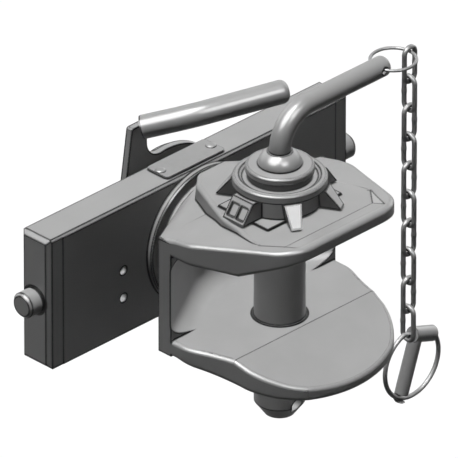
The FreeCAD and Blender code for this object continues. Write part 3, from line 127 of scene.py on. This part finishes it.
# %% [markdown]
# ## Light
#
# The top faces are the lightest, the plate's end is a quarter as light, and the front faces are
# nearly black, so the main light stands high and a little to the left. A sun gives every piece
# the same light. Most of it casts no shadow, as in a drawing office's shaded view, and the rest
# does, so that the jaw's throat still looks deep. Two more, one high on the left and one low in
# front, are seen by glosses only, and draw the bright lines on round edges. Two weak suns from
# behind keep the far sides readable without touching the faces that the picture shows.

# %% Suns
def sun(name, direction, share, softness, shadow=True, gloss_only=False):
    """A sun that shines from a direction. At share 1 it lights a square-on face at full colour."""
    data = bpy.data.lights.new(name, "SUN")
    data.energy = share * math.pi
    data.angle = math.radians(softness)
    data.use_shadow = shadow
    lamp = bpy.data.objects.new(name, data)
    lamp.rotation_mode = "QUATERNION"
    lamp.rotation_quaternion = Vector(direction).to_track_quat("Z", "Y")
    lamp.visible_diffuse = not gloss_only
    bpy.context.scene.collection.objects.link(lamp)
    return lamp


HIGH_LEFT = (-0.15, -0.03, 0.96)
sun("key_flat", HIGH_LEFT, 0.84, 12, shadow=False)
sun("key_soft", HIGH_LEFT, 0.14, 25)
sun("glint_left", (-0.50, 0.05, 0.80), 5.5, 55, shadow=False, gloss_only=True)
sun("glint_front", (-0.16, -0.72, 0.68), 1.7, 30, shadow=False, gloss_only=True)
sun("fill_back", (0.0, 0.90, 0.20), 0.30, 40)
sun("fill_right", (0.90, 0.15, 0.20), 0.30, 40)

# %% [markdown]
# ## Background
#
# The backdrop is plain white. Where a ray comes straight from the camera, the world and the
# floor look white, and a gloss sees them dimmer. Light that they throw on the object is much
# weaker still, because a bright floor would fill the dark front faces from below. The coupling
# hangs on its frame, so the floor lies far enough down for the chain at all its poses.

# %% World and floor
WORLD_FILL = 0.012
FLOOR_FILL = 0.02
FLOOR_GLOW = 0.78
FLOOR_SIZE = 60.0
FLOOR_GAP = 45 * MM
GLOSS_SHARE = 0.28


def seen_directly(tree):
    """1 for a ray from the camera, GLOSS_SHARE for one from a gloss, and 0 for the rest."""
    path = tree.nodes.new("ShaderNodeLightPath")
    dimmed = tree.nodes.new("ShaderNodeMath")
    dimmed.operation = "MULTIPLY"
    dimmed.inputs[1].default_value = GLOSS_SHARE
    tree.links.new(path.outputs["Is Glossy Ray"], dimmed.inputs[0])
    either = tree.nodes.new("ShaderNodeMath")
    either.operation = "MAXIMUM"
    tree.links.new(path.outputs["Is Camera Ray"], either.inputs[0])
    tree.links.new(dimmed.outputs[0], either.inputs[1])
    return either.outputs[0]


world = bpy.data.worlds.new("white_room")
world.use_nodes = True
bpy.context.scene.world = world
tree = world.node_tree
tree.nodes.clear()
world_out = tree.nodes.new("ShaderNodeOutputWorld")
background = tree.nodes.new("ShaderNodeBackground")
background.inputs["Color"].default_value = (1, 1, 1, 1)
strength = tree.nodes.new("ShaderNodeMapRange")
strength.inputs["To Min"].default_value = WORLD_FILL
strength.inputs["To Max"].default_value = 1.0
tree.links.new(seen_directly(tree), strength.inputs["Value"])
tree.links.new(strength.outputs["Result"], background.inputs["Strength"])
tree.links.new(background.outputs["Background"], world_out.inputs["Surface"])

floor_material = bpy.data.materials.new("pale_floor")
floor_material.use_nodes = True
tree = floor_material.node_tree
tree.nodes.clear()
floor_out = tree.nodes.new("ShaderNodeOutputMaterial")
dull = tree.nodes.new("ShaderNodeBsdfDiffuse")
dull.inputs["Color"].default_value = (FLOOR_FILL, FLOOR_FILL, FLOOR_FILL, 1)
lit = tree.nodes.new("ShaderNodeBsdfDiffuse")
lit.inputs["Color"].default_value = (1 - FLOOR_GLOW, 1 - FLOOR_GLOW, 1 - FLOOR_GLOW, 1)
glow = tree.nodes.new("ShaderNodeEmission")
glow.inputs["Strength"].default_value = FLOOR_GLOW
white = tree.nodes.new("ShaderNodeAddShader")
shown = tree.nodes.new("ShaderNodeMixShader")
tree.links.new(lit.outputs["BSDF"], white.inputs[0])
tree.links.new(glow.outputs["Emission"], white.inputs[1])
tree.links.new(seen_directly(tree), shown.inputs["Fac"])
tree.links.new(dull.outputs["BSDF"], shown.inputs[1])
tree.links.new(white.outputs["Shader"], shown.inputs[2])
tree.links.new(shown.outputs["Shader"], floor_out.inputs["Surface"])

half = FLOOR_SIZE / 2
level = cad_low.z - FLOOR_GAP
floor_mesh = bpy.data.meshes.new("floor")
floor_mesh.from_pydata(
    [(-half, -half, level), (half, -half, level), (half, half, level), (-half, half, level)],
    [], [(0, 1, 2, 3)])
floor_mesh.materials.append(floor_material)
floor = bpy.data.objects.new("floor", floor_mesh)
bpy.context.scene.collection.objects.link(floor)
print("floor at", round(level / MM, 1), "mm")

# %% [markdown]
# ## How a steel surface is built up
#
# All the steel is one neutral grey, and the pieces differ by how they were made. Three things
# show at this scale: a faint cloudiness of the primer or oil, a fine grain, and a dark line painted
# into the colour along every arris, with painted shade in every crease and joint. The arris line
# comes from a Bevel node, which averages the normals round a point: next to an edge or a crease the
# average leans away from the true normal. The painted joint shade comes from an Ambient Occlusion
# node with a reach of about two millimetres, which also sees the neighbouring piece, and darkens
# the colour where faces and pieces close in on each other. Both work on any mesh and from any side,
# and no line has to be drawn by hand.

# %% Shader helpers
def new_surface(name, grey, roughness, specular=0.32, metallic=0.0):
    """A material with one Principled shader, and its tree."""
    material = bpy.data.materials.new(name)
    material.use_nodes = True
    tree = material.node_tree
    tree.nodes.clear()
    out = tree.nodes.new("ShaderNodeOutputMaterial")
    shader = tree.nodes.new("ShaderNodeBsdfPrincipled")
    shader.inputs["Base Color"].default_value = (grey, grey, grey, 1)
    shader.inputs["Roughness"].default_value = roughness
    shader.inputs["Metallic"].default_value = metallic
    shader.inputs["Specular IOR Level"].default_value = specular
    tree.links.new(shader.outputs["BSDF"], out.inputs["Surface"])
    return material, tree, shader


def object_point(tree):
    """The point on the piece, in metres."""
    return tree.nodes.new("ShaderNodeTexCoord").outputs["Object"]


def noise(tree, point, size, detail=2.0):
    """A cloudy value round 0.5, with blobs about as wide as size in metres."""
    node = tree.nodes.new("ShaderNodeTexNoise")
    node.inputs["Scale"].default_value = 1 / size
    node.inputs["Detail"].default_value = detail
    tree.links.new(point, node.inputs["Vector"])
    return node.outputs["Fac"]


def ranged(tree, value, low, high, to_low, to_high):
    """The value stretched from one range to another, and held inside it."""
    node = tree.nodes.new("ShaderNodeMapRange")
    for name, number in zip(("From Min", "From Max", "To Min", "To Max"),
                            (low, high, to_low, to_high)):
        node.inputs[name].default_value = number
    tree.links.new(value, node.inputs["Value"])
    return node.outputs["Result"]


def math_node(tree, operation, first, second):
    """One sum on two values, each a socket or a number."""
    node = tree.nodes.new("ShaderNodeMath")
    node.operation = operation
    for socket, value in zip(node.inputs, (first, second)):
        if isinstance(value, (int, float)):
            socket.default_value = value
        else:
            tree.links.new(value, socket)
    return node.outputs[0]


print("shader helpers ready")

# %% Painted arris lines and joint shade, clouds and grain
# These set the dark line painted along every arris and crease, and the painted shade in joints, where ambient
# occlusion darkens the colour.
ARRIS_WIDTH = 2.1 * MM
ARRIS_AND_SHADE_DARK = 0.05
ARRIS_FULL = math.cos(math.radians(7.5))
ARRIS_NONE = math.cos(math.radians(3))
JOINT_SHADE_REACH = 2.2 * MM
JOINT_SHADE_FULL = 0.60
JOINT_SHADE_NONE = 0.86


def arris(tree, width):
    """1 beside an edge or in a crease of the piece's own faces, where a dark line and painted crease shade go into the
    colour, and 0 on a smooth face.
    """
    rounded = tree.nodes.new("ShaderNodeBevel")
    rounded.samples = 12
    rounded.inputs["Radius"].default_value = width
    true = tree.nodes.new("ShaderNodeNewGeometry")
    same = tree.nodes.new("ShaderNodeVectorMath")
    same.operation = "DOT_PRODUCT"
    tree.links.new(rounded.outputs["Normal"], same.inputs[0])
    tree.links.new(true.outputs["Normal"], same.inputs[1])
    return ranged(tree, same.outputs["Value"], ARRIS_FULL, ARRIS_NONE, 1.0, 0.0)


def joint(tree):
    """Painted shade: 1 in the angle where two faces or two pieces meet and ambient occlusion finds shade, and 0 in the
    open.
    """
    occlusion_shade = tree.nodes.new("ShaderNodeAmbientOcclusion")
    occlusion_shade.samples = 8
    occlusion_shade.inputs["Distance"].default_value = JOINT_SHADE_REACH
    return ranged(tree, occlusion_shade.outputs["AO"], JOINT_SHADE_FULL, JOINT_SHADE_NONE, 1.0, 0.0)


def finish_surface(tree, shader, grey, cloud, cloud_size, grain_size, grain_depth, extra=None,
                   line_width=ARRIS_WIDTH):
    """Adds the clouds, the painted arris lines and painted joint shade, and the grain to a shader. extra is one more
    height.
    """
    point = object_point(tree)
    clouds = ranged(tree, noise(tree, point, cloud_size, 4.0), 0.3, 0.7, 1 - cloud, 1 + cloud)
    # Painted shade: the base colour is darkened along every arris and in every crease and joint.
    either = math_node(tree, "MAXIMUM", arris(tree, line_width), joint(tree))
    line = ranged(tree, either, 0, 1, 1.0, ARRIS_AND_SHADE_DARK)
    level = math_node(tree, "MULTIPLY", math_node(tree, "MULTIPLY", clouds, line), grey)
    colour = tree.nodes.new("ShaderNodeCombineColor")
    for name in ("Red", "Green", "Blue"):
        tree.links.new(level, colour.inputs[name])
    tree.links.new(colour.outputs["Color"], shader.inputs["Base Color"])
    height = noise(tree, point, grain_size, 3.0)
    if extra is not None:
        height = math_node(tree, "ADD", height, extra)
    bump = tree.nodes.new("ShaderNodeBump")
    bump.inputs["Distance"].default_value = grain_depth
    bump.inputs["Strength"].default_value = 1.0
    tree.links.new(height, bump.inputs["Height"])
    tree.links.new(bump.outputs["Normal"], shader.inputs["Normal"])


print("arris line:", ARRIS_WIDTH / MM, "mm each side")

# %% [markdown]
# ## The finishes
#
# The jaw and the crown are castings, shot-blasted and primed: a soft pebbly grain of half a
# millimetre. The plate and the lever are milled or flame-cut, so they are flatter. Discs, bolts
# and the pin are turned, and a tool leaves rings round their axis. The bent bars and the chain
# are drawn wire, nearly smooth. The buffer ring is rubber.

# %% Cast and flat steel
GREY = 0.40

casting, tree, shader = new_surface("shot_blasted_casting", GREY, 0.34)
finish_surface(tree, shader, GREY, 0.035, 30 * MM, 0.7 * MM, 0.05 * MM)

milled, tree, shader = new_surface("primed_milled_steel", GREY, 0.32)
finish_surface(tree, shader, GREY, 0.03, 45 * MM, 0.5 * MM, 0.02 * MM)

flame_cut, tree, shader = new_surface("primed_flame_cut_steel", GREY, 0.34)
finish_surface(tree, shader, GREY, 0.04, 25 * MM, 0.6 * MM, 0.03 * MM)
print("cast and flat steel done")


# %% Turned steel
def rings_about(tree, axis, spacing):
    """Tool rings about an axis through the coupling point: X, Y or Z."""
    split = tree.nodes.new("ShaderNodeSeparateXYZ")
    tree.links.new(object_point(tree), split.inputs[0])
    across = [split.outputs[name] for name in "XYZ" if name != axis]
    squares = [math_node(tree, "MULTIPLY", value, value) for value in across]
    radius = math_node(tree, "SQRT", math_node(tree, "ADD", *squares), 0.0)
    wave = tree.nodes.new("ShaderNodeMath")
    wave.operation = "SINE"
    tree.links.new(math_node(tree, "MULTIPLY", radius, 2 * math.pi / spacing), wave.inputs[0])
    return math_node(tree, "MULTIPLY", wave.outputs[0], 0.4)


def turned_steel(name, axis, grey=GREY, spacing=0.8 * MM):
    """Turned steel with rings round the axis that it was turned on."""
    material, tree, shader = new_surface(name, grey, 0.30)
    rings = rings_about(tree, axis, spacing)
    finish_surface(tree, shader, grey, 0.02, 20 * MM, 0.4 * MM, 0.008 * MM, extra=rings)
    return material


turned_disc = turned_steel("turned_disc_steel", "Y")
turned_pin = turned_steel("turned_pin_steel", "Z")
turned_bolt = turned_steel("turned_bolt_steel", "X")
print("turned steel done")

# %% Bar, wire, spring and rubber
bar_steel, tree, shader = new_surface("drawn_bar_steel", GREY, 0.30)
finish_surface(tree, shader, GREY, 0.02, 30 * MM, 0.5 * MM, 0.006 * MM)

WIRE_GREY = 0.36
WIRE_LINE = 0.35 * MM
wire_steel, tree, shader = new_surface("zinc_plated_wire", WIRE_GREY, 0.30, specular=0.40)
finish_surface(tree, shader, WIRE_GREY, 0.04, 6 * MM, 0.3 * MM, 0.004 * MM, line_width=WIRE_LINE)

SPRING_GREY = 0.16
spring_steel, tree, shader = new_surface("oiled_spring_steel", SPRING_GREY, 0.35)
finish_surface(tree, shader, SPRING_GREY, 0.05, 5 * MM, 0.3 * MM, 0.004 * MM)

RUBBER_GREY = 0.016
rubber, tree, shader = new_surface("black_rubber", RUBBER_GREY, 0.55, specular=0.40)
finish_surface(tree, shader, RUBBER_GREY, 0.15, 4 * MM, 0.25 * MM, 0.02 * MM)
print("bar, wire, spring and rubber done")

# %% [markdown]
# ## Dressing the CAD nodes
#
# Every node keeps its mesh. Only its material slot changes, so nothing can drift away from the
# mechanism.

# %% Finishes on the nodes
FINISHES = {
    casting: ["jaw_body", "star_crown"],
    milled: ["carrier_plate"],
    flame_cut: ["lever_plate"],
    turned_disc: ["friction_ring", "thrust_washer", "rear_disc", "swivel_bush"],
    turned_pin: ["coupling_pin", "pin_collar", "upper_pin_bush", "lower_pin_bush", "brake_plug"],
    turned_bolt: ["locking_bolt_left", "locking_bolt_right"],
    bar_steel: ["pin_handle", "lever_handle", "drive_peg_left", "drive_peg_right"],
    wire_steel: ["handle_ring", "linch_bail", "linch_pin", "top_cover_clip", "cover_rivets"],
    spring_steel: ["brake_spring", "rear_disc_screws"],
    rubber: ["buffer_ring"],
}
LINKS = sorted(name for name in frame["nodes"] if name.startswith("link_"))
BOLT_SPRINGS = ["bolt_spring_left", "bolt_spring_right"]
REMADE = LINKS + BOLT_SPRINGS + ["cover_rivets"]

dressed = set(REMADE)
for finish, names in FINISHES.items():
    for name in names:
        materials = frame["nodes"][name].data.materials
        materials.clear()
        materials.append(finish)
        dressed.add(name)
print("nodes without a finish:", sorted(set(frame["nodes"]) - dressed))

# %% [markdown]
# ## Repeated pieces from a node tree
#
# Three things repeat: the ten chain links, the two rivets and the two bolt springs. Each has one
# node tree with its sizes as named inputs. The sizes come from the CAD node that the piece stands for, so a link is as
# long as the one that the mechanism swings. A real link is bent from a length of wire and welded
# in the middle of one side, where it is a little thicker.

# %% Node tree helpers
def new_tree(name, sizes):
    """An empty geometry tree with float or vector inputs, and its two ends."""
    tree = bpy.data.node_groups.new(name, "GeometryNodeTree")
    tree.is_modifier = True
    tree.interface.new_socket("Geometry", in_out="OUTPUT", socket_type="NodeSocketGeometry")
    for size_name, kind in sizes.items():
        tree.interface.new_socket(size_name, in_out="INPUT", socket_type="NodeSocket" + kind)
    return tree, tree.nodes.new("NodeGroupInput"), tree.nodes.new("NodeGroupOutput")


def step(tree, kind, **inputs):
    """A node with its inputs filled: sockets are linked, and plain values are set."""
    node = tree.nodes.new(kind)
    for name, value in inputs.items():
        socket = node.inputs[name.replace("_", " ")]
        if isinstance(value, bpy.types.NodeSocket):
            tree.links.new(value, socket)
        else:
            socket.default_value = value
    return node


def finish_tree(tree, ends, geometry, material):
    """Smooth shading, real geometry and the material, then out."""
    smooth = step(tree, "GeometryNodeSetShadeSmooth", Geometry=geometry)
    real = step(tree, "GeometryNodeRealizeInstances", Geometry=smooth.outputs[0])
    painted = step(tree, "GeometryNodeSetMaterial", Geometry=real.outputs[0])
    painted.inputs["Material"].default_value = material
    tree.links.new(painted.outputs[0], ends.inputs["Geometry"])


def grown(name, tree, body, slot, replaced, **sizes):
    """The tree's result as a plain mesh that rides on a body in place of a CAD node."""
    holder = bpy.data.objects.new(name, bpy.data.meshes.new(name + "_seed"))
    bpy.context.scene.collection.objects.link(holder)
    modifier = holder.modifiers.new("shape", "NODES")
    modifier.node_group = tree
    for item in tree.interface.items_tree:
        if item.in_out == "INPUT":
            modifier[item.identifier] = sizes[item.name]
    graph = bpy.context.evaluated_depsgraph_get()
    mesh = bpy.data.meshes.new_from_object(holder.evaluated_get(graph), depsgraph=graph)
    holder.modifiers.clear()
    holder.data = mesh
    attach(holder, body)
    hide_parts(replaced)
    return holder


print("tree helpers ready")

# %% The chain link's tree
WELD_SWELL = 0.12
WELD_LENGTH = 3.2 * MM

tree, given, ends = new_tree("chain_link", {
    "Wide": "Float", "Long": "Float", "Wire": "Float", "Turn": "Float", "Centre": "Vector"})


def sum_of(operation, first, second, third=0.0):
    """One sum in the tree that is being built."""
    node = tree.nodes.new("ShaderNodeMath")
    node.operation = operation
    for socket, value in zip(node.inputs, (first, second, third)):
        if isinstance(value, (int, float)):
            socket.default_value = value
        else:
            tree.links.new(value, socket)
    return node.outputs[0]


across = sum_of("SUBTRACT", given.outputs["Wide"], given.outputs["Wire"])
along = sum_of("SUBTRACT", given.outputs["Long"], given.outputs["Wire"])
half_across = sum_of("MULTIPLY", across, 0.5)
frame_line = step(tree, "GeometryNodeCurvePrimitiveQuadrilateral", Width=across, Height=along)
bent = step(tree, "GeometryNodeFilletCurve", Curve=frame_line.outputs[0])
bent.inputs["Radius"].default_value = 0.0
tree.links.new(sum_of("MULTIPLY", half_across, 0.999), bent.inputs["Radius"])
bent.mode = "POLY"
bent.inputs["Count"].default_value = 14
bent.inputs["Limit Radius"].default_value = True
even = step(tree, "GeometryNodeResampleCurve", Curve=bent.outputs[0], Count=120)
weld = tree.nodes.new("ShaderNodeCombineXYZ")
tree.links.new(half_across, weld.inputs["X"])
away = tree.nodes.new("ShaderNodeVectorMath")
away.operation = "DISTANCE"
tree.links.new(tree.nodes.new("GeometryNodeInputPosition").outputs[0], away.inputs[0])
tree.links.new(weld.outputs[0], away.inputs[1])
swell = tree.nodes.new("ShaderNodeMapRange")
swell.interpolation_type = "SMOOTHERSTEP"
for socket_name, number in (("From Min", 0), ("From Max", WELD_LENGTH), ("To Min", 1 + WELD_SWELL),
                            ("To Max", 1.0)):
    swell.inputs[socket_name].default_value = number
tree.links.new(away.outputs["Value"], swell.inputs["Value"])
wire_radius = sum_of("MULTIPLY", given.outputs["Wire"], 0.5)
thick = step(tree, "GeometryNodeSetCurveRadius", Curve=even.outputs[0],
             Radius=sum_of("MULTIPLY", wire_radius, swell.outputs["Result"]))
ring = step(tree, "GeometryNodeCurvePrimitiveCircle", Resolution=20)
ring.inputs["Radius"].default_value = 1.0
wire = tree.nodes.new("GeometryNodeCurveToMesh")
tree.links.new(thick.outputs[0], wire.inputs["Curve"])
tree.links.new(ring.outputs[0], wire.inputs["Profile Curve"])
if "Scale" in wire.inputs:
    tree.links.new(sum_of("MULTIPLY", wire_radius, swell.outputs["Result"]), wire.inputs["Scale"])
stand = tree.nodes.new("ShaderNodeCombineXYZ")
stand.inputs["X"].default_value = math.pi / 2
tree.links.new(given.outputs["Turn"], stand.inputs["Z"])
hung = step(tree, "GeometryNodeTransform", Geometry=wire.outputs[0], Rotation=stand.outputs[0],
            Translation=given.outputs["Centre"])
finish_tree(tree, ends, hung.outputs[0], wire_steel)
link_tree = tree
print("chain link tree:", len(tree.nodes), "nodes")

# %% Ten links
for name in LINKS:
    link_low, link_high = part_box(name)
    reach = link_high - link_low
    turned_across = reach.y > reach.x
    piece = grown(name.replace("link", "chain_link"), link_tree, "chain_" + name, "zinc_wire", name,
                  Wide=max(reach.x, reach.y), Long=reach.z, Wire=min(reach.x, reach.y),
                  Turn=math.pi / 2 if turned_across else 0.0, Centre=(link_low + link_high) / 2)
    corners = [piece.matrix_world @ Vector(corner) for corner in piece.bound_box]
    made = [max(c[i] for c in corners) - min(c[i] for c in corners) for i in range(3)]
    print(name, "CAD", [round(v / MM, 2) for v in reach], "made", [round(v / MM, 2) for v in made],
          len(piece.data.polygons), "faces")

# %% [markdown]
# ## The domed rivets
#
# A rivet's head is closed with a cupped tool, which leaves a low dome with a small flat rim. The
# tree draws it as one upright line, as thick at each height as the head is there.

# %% The rivets' tree
tree, given, ends = new_tree("domed_rivets", {
    "Head": "Float", "Dome": "Float", "Spread": "Float", "Seat": "Vector"})
RIM_SHARE = 0.12
line = tree.nodes.new("GeometryNodeCurvePrimitiveLine")
top = tree.nodes.new("ShaderNodeCombineXYZ")
tree.links.new(given.outputs["Dome"], top.inputs["Z"])
tree.links.new(top.outputs[0], line.inputs["End"])
fine = step(tree, "GeometryNodeResampleCurve", Curve=line.outputs[0], Count=24)
share = tree.nodes.new("GeometryNodeSplineParameter").outputs["Factor"]
above_rim = sum_of("MAXIMUM", sum_of("DIVIDE", sum_of("SUBTRACT", share, RIM_SHARE), 1 - RIM_SHARE), 0.0)
fall = sum_of("SUBTRACT", 1.0, sum_of("MULTIPLY", above_rim, above_rim))
girth = sum_of("MAXIMUM", sum_of("POWER", sum_of("MAXIMUM", fall, 0.0), 0.6), 0.02)
head_radius = sum_of("MULTIPLY", girth, given.outputs["Head"])
swollen = step(tree, "GeometryNodeSetCurveRadius", Curve=fine.outputs[0], Radius=head_radius)
ring = step(tree, "GeometryNodeCurvePrimitiveCircle", Resolution=40)
ring.inputs["Radius"].default_value = 1.0
head = tree.nodes.new("GeometryNodeCurveToMesh")
tree.links.new(swollen.outputs[0], head.inputs["Curve"])
tree.links.new(ring.outputs[0], head.inputs["Profile Curve"])
head.inputs["Fill Caps"].default_value = True
if "Scale" in head.inputs:
    tree.links.new(head_radius, head.inputs["Scale"])
places = tree.nodes.new("GeometryNodeMeshLine")
places.inputs["Count"].default_value = 2
tree.links.new(given.outputs["Seat"], places.inputs["Start Location"])
gap = tree.nodes.new("ShaderNodeCombineXYZ")
tree.links.new(given.outputs["Spread"], gap.inputs["X"])
tree.links.new(gap.outputs[0], places.inputs["Offset"])
set_out = step(tree, "GeometryNodeInstanceOnPoints", Points=places.outputs[0],
               Instance=head.outputs[0])
finish_tree(tree, ends, set_out.outputs[0], wire_steel)
print("rivet tree:", len(tree.nodes), "nodes")

# %% Two rivets on the cover
rivets_low, rivets_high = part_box("cover_rivets")
cover_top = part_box("top_cover_clip")[1].z
head_radius = (rivets_high.y - rivets_low.y) / 2
middle_y = (rivets_high.y + rivets_low.y) / 2
piece = grown("domed_rivets", tree, "carrier", "sheet_steel", "cover_rivets", Head=head_radius,
              Dome=rivets_high.z - cover_top, Spread=rivets_high.x - rivets_low.x - 2 * head_radius,
              Seat=Vector((rivets_low.x + head_radius, middle_y, cover_top)))
print("rivets:", [round(v / MM, 2) for v in piece.dimensions], "mm,", len(piece.data.polygons), "faces")

# %% [markdown]
# ## The bolt springs
#
# A spring pushes each locking bolt out of the plate. When the lever draws the bolt in, the real spring
# gets shorter, squashed towards its fixed end by as much as the bolt moves. Each spring here is drawn
# once, as a coil as long as its CAD node.

# %% The springs' tree
tree, given, ends = new_tree("coil_spring", {
    "Wire": "Float", "Mean": "Float", "Run": "Float", "Start": "Vector"})
SPRING_TURNS = 6.0
helix = tree.nodes.new("GeometryNodeCurveSpiral")
helix.inputs["Resolution"].default_value = 48
helix.inputs["Rotations"].default_value = SPRING_TURNS
for socket_name, source in (("Start Radius", "Mean"), ("End Radius", "Mean"), ("Height", "Run")):
    tree.links.new(given.outputs[source], helix.inputs[socket_name])
ring = step(tree, "GeometryNodeCurvePrimitiveCircle", Resolution=16)
tree.links.new(sum_of("MULTIPLY", given.outputs["Wire"], 0.5), ring.inputs["Radius"])
coil = tree.nodes.new("GeometryNodeCurveToMesh")
tree.links.new(helix.outputs[0], coil.inputs["Curve"])
tree.links.new(ring.outputs[0], coil.inputs["Profile Curve"])
coil.inputs["Fill Caps"].default_value = True
laid = step(tree, "GeometryNodeTransform", Geometry=coil.outputs[0],
            Translation=given.outputs["Start"])
laid.inputs["Rotation"].default_value = (0.0, math.pi / 2, 0.0)
finish_tree(tree, ends, laid.outputs[0], spring_steel)
spring_tree = tree

# %% Two springs
SPRING_WIRE = 2.4 * MM
springs = {joint["name"]: joint for joint in frame["record"]["behaviour"]["joints"]
           if joint.get("deforming_nodes")}
for joint_name, slide in springs.items():
    node = slide["deforming_nodes"][0]["node"]
    fixed = slide["deforming_nodes"][0]["fixed_end_x_m"]
    spring_low, spring_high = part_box(node)
    middle = (spring_low + spring_high) / 2
    piece = grown(node.replace("bolt_spring", "coil_spring"), spring_tree, "carrier",
                  "spring_steel", node, Wire=SPRING_WIRE,
                  Mean=(spring_high.y - spring_low.y - SPRING_WIRE) / 2,
                  Run=spring_high.x - spring_low.x - SPRING_WIRE,
                  Start=Vector((spring_low.x + SPRING_WIRE / 2, middle.y, middle.z)))
    reach = max(abs(spring_low.x - fixed), abs(spring_high.x - fixed))
    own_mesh(piece)

# %% [markdown]
# ## No light from piece to piece
#
# In the picture a wall that stands on a bright face is as dark as any other, such as the crown's
# drum on the jaw. So the pieces throw shadows and show in glosses, but pass no light on to each
# other.

# %% Bounced light off
for piece in bpy.context.scene.objects:
    if piece.type == "MESH" and piece is not floor:
        piece.visible_diffuse = False
